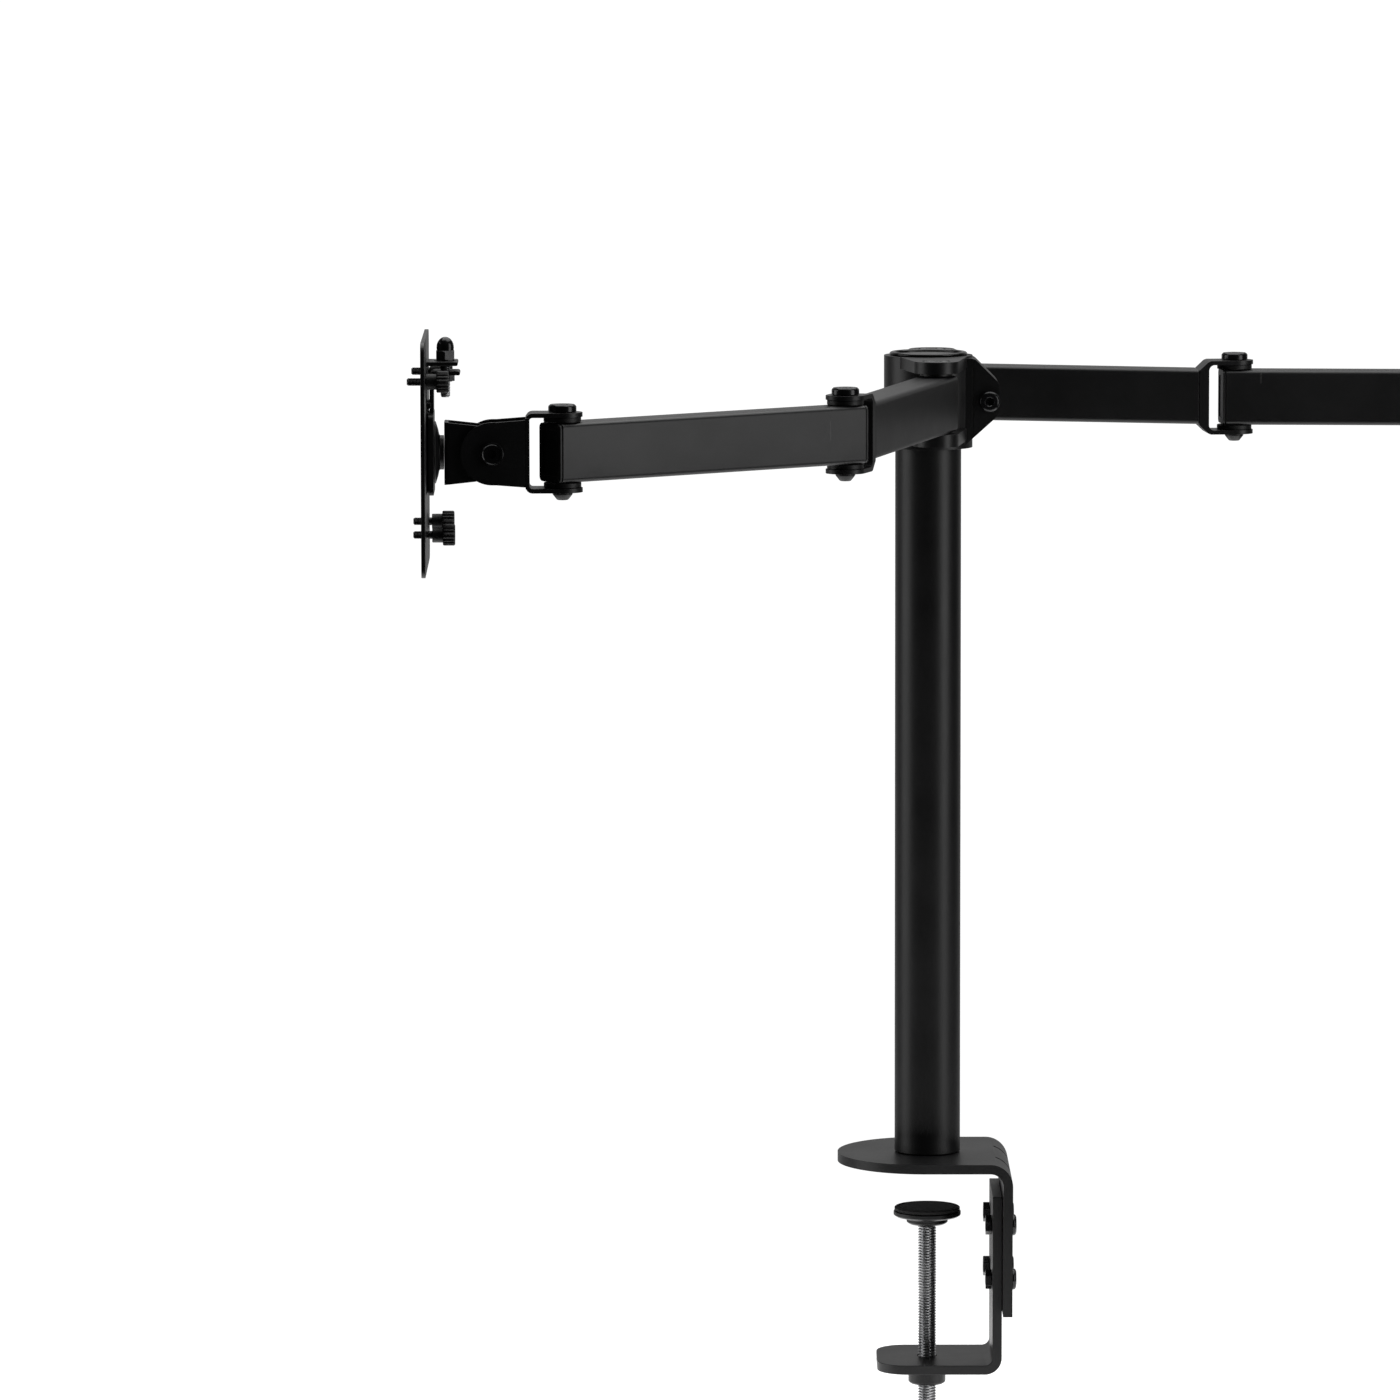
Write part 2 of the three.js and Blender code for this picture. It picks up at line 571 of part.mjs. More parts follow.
// A moulded cap that closes the tube's end at x = 0, facing -X.
function endCap() {
  const flange = slab(roundedRectangle(TUBE_WIDTH - 0.4, TUBE_HEIGHT - 0.4, TUBE_CORNER), -END_CAP_FLANGE, -GAP, 3);
  const inset = 2 * (TUBE_WALL + GAP);
  const plug = slab(roundedRectangle(TUBE_WIDTH - inset, TUBE_HEIGHT - inset, 1), -GAP - 0.5, END_CAP_PLUG, 1);
  const hollow = slab(roundedRectangle(TUBE_WIDTH - inset - 3, TUBE_HEIGHT - inset - 3, 1), 0.5, END_CAP_PLUG + 1, 1);
  return cut(join(flange, plug), hollow).transform([0, 1, 0, 0, 0, 0, 1, 0, 1, 0, 0, 0, 0, 0, 0, 1]);
}

// The sheet yoke welded to the inner tube's end. The elbow pin is at x = 0.
function elbowYoke() {
  const back = -YOKE_WEB_INNER - YOKE_FOOT;
  const tubeHalf = TUBE_HEIGHT / 2;
  const inside = YOKE_HALF_HEIGHT - YOKE_SHEET;
  const bend = YOKE_BEND_RADIUS;
  const shape = new THREE.Shape();
  shape.moveTo(back, -tubeHalf);
  shape.lineTo(back + YOKE_FLARE, -YOKE_HALF_HEIGHT);
  shape.lineTo(YOKE_LUG_RADIUS, -YOKE_HALF_HEIGHT);
  shape.lineTo(YOKE_LUG_RADIUS, -inside);
  shape.lineTo(-YOKE_WEB_INNER + bend, -inside);
  shape.absarc(-YOKE_WEB_INNER + bend, -inside + bend, bend, -Math.PI / 2, Math.PI, true);
  shape.lineTo(-YOKE_WEB_INNER, inside - bend);
  shape.absarc(-YOKE_WEB_INNER + bend, inside - bend, bend, Math.PI, Math.PI / 2, true);
  shape.lineTo(YOKE_LUG_RADIUS, inside);
  shape.lineTo(YOKE_LUG_RADIUS, YOKE_HALF_HEIGHT);
  shape.lineTo(back + YOKE_FLARE, YOKE_HALF_HEIGHT);
  shape.lineTo(back, tubeHalf);
  const plan = slab(tongue(back - 1, 0, YOKE_LUG_RADIUS), -YOKE_HALF_HEIGHT - 1, YOKE_HALF_HEIGHT + 1, 10);
  return cut(sideSlab(shape, TUBE_WIDTH, 3).intersect(plan), ...lugBores());
}

// Holes of a yoke's lugs: clear for the pin above, clear for the thread below.
function lugBores() {
  return [
    bar(PIN_RADIUS + GAP, 0, YOKE_HALF_HEIGHT + 1, 12),
    bar(THREAD_RADIUS + GAP, -YOKE_HALF_HEIGHT - 1, 0, 12),
  ];
}

// Joint bolt: button head on the upper lug, pin through the tube, thread through the lower lug.
function jointBolt() {
  const seat = YOKE_HALF_HEIGHT + GAP;
  return turned([
    [0, -seat - 2], [THREAD_RADIUS, -seat - 2], [THREAD_RADIUS, -YOKE_HALF_HEIGHT + YOKE_SHEET + 1],
    [PIN_RADIUS, -YOKE_HALF_HEIGHT + YOKE_SHEET + 1], [PIN_RADIUS, seat], [HEAD_RADIUS, seat],
    [HEAD_RADIUS, seat + HEAD_HEIGHT * 0.7], [HEAD_RADIUS - 0.9, seat + HEAD_HEIGHT], [0, seat + HEAD_HEIGHT],
  ], 16);
}

// Cone nut with a blind thread, under the lower lug.
function coneNut() {
  const top = -YOKE_HALF_HEIGHT - GAP;
  const bore = THREAD_RADIUS + GAP;
  return turned([
    [0, top - NUT_HEIGHT], [NUT_TIP_RADIUS, top - NUT_HEIGHT], [NUT_TOP_RADIUS, top - 0.8],
    [NUT_TOP_RADIUS, top], [bore, top], [bore, top - NUT_BORE_DEPTH], [0, top - NUT_BORE_DEPTH],
  ], 12);
}

// Shoulder screw: its flat head is sunk flush in the upper lug, its end is in the lower one.
function shoulderBolt() {
  const seat = COLLAR_TOP_Z - SHOULDER_HEAD_SINK + GAP - ARM_Z;
  const end = LOWER_LUG_BOTTOM_Z + 0.5 - ARM_Z;
  const top = COLLAR_TOP_Z - ARM_Z;
  return turned([
    [0, end], [PIN_RADIUS, end], [PIN_RADIUS, seat], [HEAD_RADIUS, seat],
    [HEAD_RADIUS, top - 0.6], [HEAD_RADIUS - 0.6, top], [0, top],
  ], 16);
}

// ---------------------------------------------------------------------------------------
// Head. +X runs from the wrist pin towards the monitor.
// ---------------------------------------------------------------------------------------

const CLEVIS_BACK_X = CLEVIS_WEB_X + CLEVIS_SHEET;
const DISH_X = CLEVIS_BACK_X + NECK_LENGTH;
const HOOK_X = DISH_X + DISH_DEPTH + GAP;
const VESA_X = HOOK_X + HOOK_THICKNESS + VESA_GAP;
const MONITOR_FACE_X = VESA_X + VESA_THICKNESS;
const LOCK_X = VESA_X - LOCK_BOLT_INSET;

// One pressed blank: a web, two lugs back over the wrist pin, two ears forward to the tilt bolt.
function headYoke() {
  const half = YOKE_HALF_HEIGHT;
  const web = block(HEAD_WEB_X, HEAD_WEB_X + HEAD_SHEET, -HEAD_WIDTH / 2, HEAD_WIDTH / 2, -half, half);
  const plan = new THREE.Shape();
  plan.absarc(0, 0, YOKE_LUG_RADIUS, Math.PI / 2, 1.5 * Math.PI);
  plan.lineTo(HEAD_WEB_X + 1, -YOKE_LUG_RADIUS);
  plan.lineTo(HEAD_WEB_X + 1, YOKE_LUG_RADIUS);
  const lugs = [slab(plan, half - YOKE_SHEET, half), slab(plan, -half, -half + YOKE_SHEET)];
  const side = new THREE.Shape();
  side.moveTo(HEAD_WEB_X + 0.2, -HEAD_EAR_ROOT);
  side.lineTo(TILT_X - 2, -HEAD_EAR_RADIUS);
  side.lineTo(TILT_X, -HEAD_EAR_RADIUS);
  side.absarc(TILT_X, 0, HEAD_EAR_RADIUS, -Math.PI / 2, Math.PI / 2);
  side.lineTo(TILT_X - 2, HEAD_EAR_RADIUS);
  side.lineTo(HEAD_WEB_X + 0.2, HEAD_EAR_ROOT);
  const inside = HEAD_WIDTH - 2 * HEAD_SHEET;
  const ears = cut(
    sideSlab(side, HEAD_WIDTH, 10),
    block(HEAD_WEB_X + HEAD_SHEET, TILT_X + 30, -inside / 2, inside / 2, -40, 40),
  );
  const tiltBore = aim(bar(TILT_BORE_RADIUS, 0, HEAD_WIDTH + 4, 10), '+y', TILT_X, -HEAD_WIDTH / 2 - 2, 0);
  return cut(join(web, ears, ...lugs), tiltBore, ...lugBores());
}

// The channel between the yoke's ears. Its web carries the swivel.
function tiltClevis() {
  const width = HEAD_WIDTH - 2 * HEAD_SHEET - 2 * GAP;
  const rear = TILT_X - CLEVIS_END_RADIUS;
  const shape = new THREE.Shape();
  shape.moveTo(CLEVIS_BACK_X, -CLEVIS_HALF_HEIGHT);
  shape.lineTo(CLEVIS_BACK_X, CLEVIS_HALF_HEIGHT);
  shape.lineTo(TILT_X + CLEVIS_WAIST_X, CLEVIS_WAIST_HALF_HEIGHT);
  shape.absarc(TILT_X, 0, CLEVIS_END_RADIUS, Math.PI / 2, 1.5 * Math.PI);
  shape.lineTo(TILT_X + CLEVIS_WAIST_X, -CLEVIS_WAIST_HALF_HEIGHT);
  const inside = width / 2 - CLEVIS_SHEET;
  const bore = aim(bar(TILT_BORE_RADIUS, 0, HEAD_WIDTH + 4, 10), '+y', TILT_X, -HEAD_WIDTH / 2 - 2, 0);
  return cut(sideSlab(shape, width, 8), block(rear - 1, CLEVIS_WEB_X, -inside, inside, -40, 40), bore);
}

function tiltBolt() {
  const bolt = buttonBolt(TILT_HEAD_RADIUS, TILT_HEAD_HEIGHT, THREAD_RADIUS, HEAD_WIDTH + TILT_NUT_LENGTH);
  return aim(bolt, '+y', TILT_X, HEAD_WIDTH / 2 + GAP, 0);
}

// Neck and domed dish, riveted to the clevis. The hook plate turns on it.
function swivelDish() {
  const start = CLEVIS_BACK_X + GAP;
  return aim(turned([
    [0, start], [NECK_RADIUS, start], [NECK_RADIUS, DISH_X], [DISH_RADIUS - 3, DISH_X + DISH_DEPTH * 0.35],
    [DISH_RADIUS, DISH_X + DISH_DEPTH * 0.8], [DISH_RADIUS, DISH_X + DISH_DEPTH], [0, DISH_X + DISH_DEPTH],
  ], 20), '+x', 0, 0, 0);
}

// A flat shape drawn in Y and Z, standing from x0 to x1.
function standingSlab(shape, x0, x1, curveSegments = 3) {
  return slab(shape, x0, x1, curveSegments).transform([0, 1, 0, 0, 0, 0, 1, 0, 1, 0, 0, 0, 0, 0, 0, 1]);
}

// The plate that drops behind the VESA plate, with a tongue up to its locking tab.
function hookPlate() {
  const face = roundedRectangle(2 * HOOK_HALF_WIDTH, 2 * HOOK_HALF_HEIGHT, HOOK_CORNER);
  const plate = standingSlab(face, HOOK_X, HOOK_X + HOOK_THICKNESS);
  const neck = HOOK_TONGUE_HALF_WIDTH;
  const stem = block(HOOK_X, HOOK_X + TAB_SHEET, -neck, neck, HOOK_HALF_HEIGHT - 2, LOWER_TAB_Z);
  const tab = block(VESA_X - 1 - LOCK_TAB_LENGTH, HOOK_X + TAB_SHEET, -neck, neck, LOWER_TAB_Z - TAB_SHEET, LOWER_TAB_Z);
  return cut(join(plate, stem, tab), lockBore());
}

function lockBore() {
  return bar(LOCK_BOLT_RADIUS + GAP, 20, VESA_SIZE, 10).translate([LOCK_X, 0, 0]);
}

// Square plate on the monitor, drilled for both patterns, with a tab bent back over the tongue.
function vesaPlate() {
  const face = roundedRectangle(VESA_SIZE, VESA_SIZE, VESA_CORNER);
  for (const pitch of VESA_PATTERNS) {
    for (const y of [-pitch / 2, pitch / 2]) {
      for (const z of [-pitch / 2, pitch / 2]) {
        const hole = new THREE.Path();
        hole.absarc(y, z, VESA_HOLE_RADIUS, 0, 2 * Math.PI, true);
        face.holes.push(hole);
      }
    }
  }
  const plate = standingSlab(face, VESA_X, MONITOR_FACE_X, 3);
  const wide = VESA_SLOT_HALF_WIDTH;
  const tab = block(VESA_X - LOCK_TAB_LENGTH, VESA_X + 1, -wide, wide, UPPER_TAB_Z - TAB_SHEET, UPPER_TAB_Z);
  return cut(join(plate, tab), lockBore());
}

function lockBolt() {
  const bottom = LOWER_TAB_Z - TAB_SHEET - GAP;
  const nutBottom = bottom - LOCK_BOLT_NUT_HEIGHT;
  const bolt = turned([
    [0, LOCK_BOLT_BOTTOM_Z], [LOCK_BOLT_RADIUS, LOCK_BOLT_BOTTOM_Z], [LOCK_BOLT_RADIUS, nutBottom],
    [LOCK_NUT_RADIUS, nutBottom], [LOCK_NUT_RADIUS, bottom], [LOCK_BOLT_RADIUS, bottom],
    [LOCK_BOLT_RADIUS, UPPER_TAB_Z + 3], [0, UPPER_TAB_Z + 3],
  ], 10);
  return bolt.translate([LOCK_X, 0, 0]);
}

// Domed nut on the upper tab.
function lockNut() {
  const bottom = UPPER_TAB_Z + GAP;
  const hexTop = bottom + LOCK_HEX_HEIGHT;
  const bore = LOCK_BOLT_RADIUS + GAP;
  const dome = [0, 0.33, 0.66, 1].map((step) => {
    const angle = (step * Math.PI) / 2;
    return [LOCK_DOME_RADIUS * Math.cos(angle), hexTop + LOCK_DOME_FOOT + LOCK_DOME_HEIGHT * Math.sin(angle)];
  });
  const body = join(
    bar(LOCK_NUT_RADIUS, bottom, hexTop, 6),
    turned([[0, hexTop - 1], [LOCK_DOME_RADIUS, hexTop - 1], ...dome], 10),
  );
  return cut(body, bar(bore, bottom - 1, UPPER_TAB_Z + 3.6, 8)).translate([LOCK_X, 0, 0]);
}

function thumbscrew() {
  const headStart = GAP + THUMB_COLLAR;
  const headEnd = headStart + THUMB_HEAD;
  return turned([
    [0, -THUMB_SHANK], [THUMB_SHANK_RADIUS, -THUMB_SHANK], [THUMB_SHANK_RADIUS, GAP], [THUMB_COLLAR_RADIUS, GAP],
    [THUMB_COLLAR_RADIUS, headStart], [THUMB_HEAD_RADIUS, headStart], [THUMB_HEAD_RADIUS, headEnd], [0, headEnd],
  ], 10);
}

// ---------------------------------------------------------------------------------------
// Assembly of both arms
// ---------------------------------------------------------------------------------------

// A group that turns by an angle in plan, at a place in its parent.
function turnedGroup(parent, x, y, z, degrees) {
  const group = new THREE.Group();
  group.position.set(x, y, z);
  group.rotation.z = radians(degrees);
  parent.add(group);
  return group;
}

for (const { side, lugY, inner, outer, head, innerDroop, outerDroop } of ARMS) {
  const shoulder = turnedGroup(arm, SHOULDER_X, lugY, ARM_Z, inner);
  const tubeEnd = INNER_REACH - YOKE_WEB_INNER - YOKE_FOOT - GAP;
  add(shoulder, `${side}_shoulder_bolt`, 'boltBlack', shoulderBolt());
  add(shoulder, `${side}_inner_tube`, 'powderBlack', tube(-TUBE_OVERHANG - END_CAP_FLANGE, tubeEnd, [0], innerDroop));

  const innerDrop = INNER_REACH * Math.tan(radians(innerDroop));
  const yoke = turnedGroup(shoulder, INNER_REACH, 0, -innerDrop, 0);
  add(yoke, `${side}_inner_yoke`, 'powderBlack', elbowYoke());
  add(yoke, `${side}_elbow_bolt`, 'boltBlack', jointBolt());
  add(yoke, `${side}_elbow_nut`, 'powderBlack', coneNut());

  const elbow = turnedGroup(shoulder, INNER_REACH, 0, -innerDrop, outer - inner);
  const reach = OUTER_REACH + TUBE_OVERHANG;
  const outerDrop = OUTER_REACH * Math.tan(radians(outerDroop));
  add(elbow, `${side}_outer_tube`, 'powderBlack', tube(-TUBE_OVERHANG, reach, [0, OUTER_REACH], outerDroop));
  add(elbow, `${side}_elbow_cap`, 'plasticBlack', endCap().translate([-TUBE_OVERHANG, 0, 0.1]));
  const wristCap = endCap().mirror([1, 0, 0]).translate([reach, 0, -outerDrop - 0.1]);
  add(elbow, `${side}_wrist_cap`, 'plasticBlack', wristCap);

  const wrist = turnedGroup(elbow, OUTER_REACH, 0, -outerDrop, head - outer);
  add(wrist, `${side}_wrist_bolt`, 'boltBlack', jointBolt());
  add(wrist, `${side}_wrist_nut`, 'powderBlack', coneNut());
  add(wrist, `${side}_head_yoke`, 'powderBlack', headYoke());
  add(wrist, `${side}_tilt_bolt`, 'boltBlack', tiltBolt());
  add(wrist, `${side}_tilt_clevis`, 'powderBlack', tiltClevis());
  add(wrist, `${side}_swivel_dish`, 'powderBlack', swivelDish());
  add(wrist, `${side}_hook_plate`, 'powderBlack', hookPlate());
  add(wrist, `${side}_vesa_plate`, 'powderBlack', vesaPlate());
  add(wrist, `${side}_lock_bolt`, 'zincSteel', lockBolt());
  add(wrist, `${side}_lock_nut`, 'boltBlack', lockNut());

  let number = 0;
  const seat = VESA_PATTERNS[0] / 2;
  for (const z of [seat, -seat]) {
    for (const y of [-seat, seat]) {
      const x = VESA_X - THUMB_SLACK[side][number];
      number += 1;
      add(wrist, `${side}_thumbscrew_${number}`, 'plasticBlack', aim(thumbscrew(), '-x', x, y, z));
    }
  }
}

export default arm;
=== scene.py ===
import json
from math import atan2, cos, hypot, pi, radians, sin

import bmesh
import bpy
from mathutils import Matrix, Vector


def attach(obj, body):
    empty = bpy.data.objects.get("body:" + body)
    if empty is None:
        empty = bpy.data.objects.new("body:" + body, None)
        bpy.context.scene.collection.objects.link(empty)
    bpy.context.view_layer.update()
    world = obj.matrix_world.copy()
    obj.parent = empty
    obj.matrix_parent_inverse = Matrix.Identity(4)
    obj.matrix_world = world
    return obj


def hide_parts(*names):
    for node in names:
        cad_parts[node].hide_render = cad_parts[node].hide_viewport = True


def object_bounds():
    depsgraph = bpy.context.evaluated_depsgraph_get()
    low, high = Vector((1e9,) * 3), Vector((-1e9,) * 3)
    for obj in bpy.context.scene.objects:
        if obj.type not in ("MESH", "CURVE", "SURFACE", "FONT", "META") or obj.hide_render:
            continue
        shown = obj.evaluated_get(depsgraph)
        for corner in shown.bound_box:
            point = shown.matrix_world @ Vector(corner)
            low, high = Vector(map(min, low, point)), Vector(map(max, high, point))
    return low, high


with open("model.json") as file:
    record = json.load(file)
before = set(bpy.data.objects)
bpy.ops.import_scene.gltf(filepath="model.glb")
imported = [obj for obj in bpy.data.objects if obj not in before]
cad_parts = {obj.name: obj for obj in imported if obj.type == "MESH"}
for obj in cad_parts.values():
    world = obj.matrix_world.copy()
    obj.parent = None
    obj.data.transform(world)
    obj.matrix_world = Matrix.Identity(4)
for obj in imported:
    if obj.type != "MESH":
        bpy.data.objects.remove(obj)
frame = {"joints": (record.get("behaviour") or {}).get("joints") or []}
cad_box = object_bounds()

MM = 0.001
scene = bpy.context.scene

# Dimensions in millimetres. +Z is up, and the origin is on the pole's axis at the desk face.
GAP = 0.3
POLE_RADIUS = 17.5
POLE_TOP = 431.9
PLATE = {
    "thick": 5, "half": 46, "nose": -48, "bend": 12, "flange_x": 44.5, "flange_low": -78, "shoulder": -23.4,
    "tongue": 40,
}
GUSSET_Y = 18
JAW = {"thick": 5, "half": 30, "nose": -27, "corner": 16, "bend": 9, "x": 39.2, "top": -15, "low": -111}
BOLT_ROWS = (-31.6, -61)
BOLT_Y = 20
PIN_BORE = 4.3
THREAD_BORE = 3.3
SCREW_PITCH = 1.5
COLLAR = {"radius": 23.5, "bore": 19.6, "top": 431.8, "low": 383}
LUG_RADIUS = 12
LUG_LEVELS = {"upper": 425.6, "lower_top": 393.8, "lower": 387.2}
SHOULDER_X = 3
SHOULDER_Y = 48.3
PINCH_X = 32
PINCH_Z = 408
EAR_Y = 13.5
TUBE = {"wide": 20, "high": 29.4, "wall": 2, "corner": 2.5, "over": 5.9}
CAP_FLANGE = 1.5
YOKE = {"sheet": 2.2, "half": 19.75, "web": 15, "foot": 5.2, "lug": 10}
HEAD = {"web": 16.3, "sheet": 1.9, "wide": 24, "ear": 15.5, "root": 16.9, "tilt": 34.6}
CLEVIS_BACK = 58.2
HOOK_X = 63.3
HOOK_SHEET = 2.5
VESA_X = 66.8
VESA_SHEET = 2
LOCK_X = VESA_X - 9.2
VESA_PATTERNS = (75, 100)
VESA_HALF = 57.5
TAB_LENGTH = 15.5

# How far each thumbscrew stands out of its seat.
SLACK = {"left": (0.6, 0, 1.2, 2.8), "right": (0.5, 0.5, 0.5, 0.5)}

# ------------------------------------------------------------------ shapes

ALONG = {
    "+z": Matrix.Identity(4),
    "+x": Matrix.Rotation(pi / 2, 4, "Y"),
    "-x": Matrix.Rotation(-pi / 2, 4, "Y"),
    "+y": Matrix.Rotation(-pi / 2, 4, "X"),
    "-y": Matrix.Rotation(pi / 2, 4, "X"),
}
SIDEWAYS = Matrix.Rotation(pi / 2, 4, "X")
FACING = Matrix(((0, 0, 1, 0), (1, 0, 0, 0), (0, 1, 0, 0), (0, 0, 0, 1)))


def at(x, y, z, along="+z"):
    return Matrix.Translation((x, y, z)) @ ALONG[along]


def closed(bm):
    """Merges doubles and turns every face outwards."""
    bmesh.ops.remove_doubles(bm, verts=bm.verts, dist=1e-4)
    bmesh.ops.recalc_face_normals(bm, faces=bm.faces)
    return bm


def moved(bm, matrix):
    bmesh.ops.transform(bm, matrix=matrix, verts=bm.verts)
    return bm


def flat(points, segments=8):
    """A face through the points in X and Y. A point's third number rounds its corner back by that length."""
    bm = bmesh.new()
    verts = [bm.verts.new((point[0], point[1], 0)) for point in points]
    bm.faces.new(verts)
    for length in sorted({point[2] for point in points if len(point) > 2}):
        corners = [v for v, point in zip(verts, points) if len(point) > 2 and point[2] == length]
        bmesh.ops.bevel(bm, geom=corners, offset=length, offset_type="OFFSET", segments=segments, profile=0.5,
                        affect="VERTICES", material=-1)
    bmesh.ops.remove_doubles(bm, verts=bm.verts, dist=1e-4)
    return bm


def rectangle(x0, x1, y0, y1, corner=0, segments=8):
    return flat([(x0, y0, corner), (x1, y0, corner), (x1, y1, corner), (x0, y1, corner)], segments)


def pierced(bm, *openings):
    """The face with the outlines of the other flat shapes left open in it."""
    bmesh.ops.delete(bm, geom=bm.faces[:], context="FACES_ONLY")
    for opening in openings:
        bmesh.ops.delete(opening, geom=opening.faces[:], context="FACES_ONLY")
        mesh = bpy.data.meshes.new("opening")
        opening.to_mesh(mesh)
        bm.from_mesh(mesh)
        bpy.data.meshes.remove(mesh)
    bmesh.ops.triangle_fill(bm, use_beauty=True, use_dissolve=False, edges=bm.edges[:], normal=(0, 0, 1))
    return bm


def circle(x, y, radius, sides=24):
    bm = bmesh.new()
    bmesh.ops.create_circle(bm, cap_ends=True, radius=radius, segments=sides,
                            matrix=Matrix.Translation((x, y, 0)))
    return bm


def pushed(bm, low, high):
    """A flat shape pushed into a closed slab from low to high along Z."""
    bmesh.ops.translate(bm, verts=bm.verts, vec=(0, 0, low))
    grown = bmesh.ops.extrude_face_region(bm, geom=bm.faces[:])["geom"]
    top = [item for item in grown if isinstance(item, bmesh.types.BMVert)]
    bmesh.ops.translate(bm, verts=top, vec=(0, 0, high - low))
    return closed(bm)


def slab(points, low, high, segments=8):
    return pushed(flat(points, segments), low, high)


def side_slab(points, width, segments=8):
    """An outline in X and Z pushed along Y, centred on Y = 0."""
    return moved(slab(points, -width / 2, width / 2, segments), SIDEWAYS)


def turned(profile, sides=48, ring=False):
    """A profile of (radius, height) points spun about Z. A ring's last point joins its first."""
    bm = bmesh.new()
    verts = [bm.verts.new((radius, 0, height)) for radius, height in profile]
    edges = [bm.edges.new(pair) for pair in zip(verts, verts[1:])]
    if ring:
        edges.append(bm.edges.new((verts[-1], verts[0])))
    bmesh.ops.spin(bm, geom=verts + edges, cent=(0, 0, 0), axis=(0, 0, 1), dvec=(0, 0, 0), angle=2 * pi,
                   steps=sides, use_merge=True)
    return closed(bm)


def bar(radius, low, high, sides=32):
    return turned([(0, low), (radius, low), (radius, high), (0, high)], sides)


def hexagon(across, low, high):
    bm = bmesh.new()
    bmesh.ops.create_circle(bm, cap_ends=True, radius=across / 3 ** 0.5, segments=6)
    return pushed(bm, low, high)


def together(*bodies):
    """Several bodies that stand apart, in one mesh."""
    bm = bmesh.new()
    for body in bodies:
        mesh = bpy.data.meshes.new("part")
        body.to_mesh(mesh)
        bm.from_mesh(mesh)
        bpy.data.meshes.remove(mesh)
    return bm


def shaped(body, operation, *tools):
    """A body with each tool joined to it, cut from it, or kept in common with it."""
    work = []
    for item in (body, *tools):
        mesh = bpy.data.meshes.new("work")
        item.to_mesh(mesh)
        work.append(bpy.data.objects.new("work", mesh))
        scene.collection.objects.link(work[-1])
    for tool in work[1:]:
        step = work[0].modifiers.new("step", "BOOLEAN")
        step.operation = operation
        step.solver = "EXACT"
        step.object = tool
    evaluated = work[0].evaluated_get(bpy.context.evaluated_depsgraph_get())
    result = bmesh.new()
    result.from_mesh(evaluated.to_mesh())
    evaluated.to_mesh_clear()
    for item in work:
        mesh = item.data
        bpy.data.objects.remove(item)
        bpy.data.meshes.remove(mesh)
    return closed(result)


def cut(body, *tools):
    return shaped(body, "DIFFERENCE", *tools)


def joined(body, *tools):
    return shaped(body, "UNION", *tools)


def threaded(radius, low, high, pitch, sides=24, depth=0.6):
    """A screw: a bar about Z whose surface rises and falls along a helix, tapered at its low end."""
    step = pitch / 4
    rings = int((high - low) / step)
    side = [(radius, low + step * ring) for ring in range(rings + 1)]
    profile = [(0, low), *side, (0, low + step * rings)]
    bm = turned(profile, sides)
    for v in bm.verts:
        around = hypot(v.co.x, v.co.y)
        if around > radius / 2:
            phase = (v.co.z / pitch - atan2(v.co.y, v.co.x) / (2 * pi)) % 1
            taper = max(0.0, 1 - (v.co.z - low) / pitch)
            factor = 1 - (depth * abs(2 * phase - 1) * pitch + 0.5 * taper) / radius
            v.co.x *= factor
            v.co.y *= factor
    return bm


def rippled(bm, count, depth, least, low, high):
    """Knurls every vertex outside the least radius between two heights."""
    for v in bm.verts:
        around = hypot(v.co.x, v.co.y)
        if around > least and low <= v.co.z <= high:
            factor = 1 - depth * (0.5 - 0.5 * cos(count * atan2(v.co.y, v.co.x))) / around
            v.co.x *= factor
            v.co.y *= factor
    return bm


def button_bolt(radius, height, socket, shank, length, sides=48):
    """A button-head bolt on Z: head above 0 with a hexagon socket, shank below."""
    head = turned([
        (0, -length), (shank - 0.5, -length), (shank, -length + 0.6), (shank, 0), (radius - 0.3, 0),
        (radius, 0.3), (radius, height * 0.42), (radius * 0.965, height * 0.66),
        (radius * 0.88, height * 0.87), (radius * 0.74, height), (0, height),
    ], sides)
    mouth = turned([
        (0, height - 0.5), (socket * 0.5, height - 0.5), (socket * 0.66, height + 0.1), (0, height + 0.1),
    ], 32)
    return cut(head, hexagon(socket, height - 2.1, height + 1), mouth)


# ------------------------------------------------------------------ finishes

class Wire:
    """A shader socket that arithmetic works on."""

    def __init__(self, finish, socket):
        self.finish = finish
        self.socket = socket

    def maths(self, operation, first, second=None):
        return self.finish.node("ShaderNodeMath", {"operation": operation}, {0: first, 1: second})

    def __add__(self, other):
        return self.maths("ADD", self, other)

    def __sub__(self, other):
        return self.maths("SUBTRACT", self, other)

    def __rsub__(self, other):
        return self.maths("SUBTRACT", other, self)

    def __mul__(self, other):
        return self.maths("MULTIPLY", self, other)

    def __abs__(self):
        return self.maths("ABSOLUTE", self)

    __rmul__ = __mul__


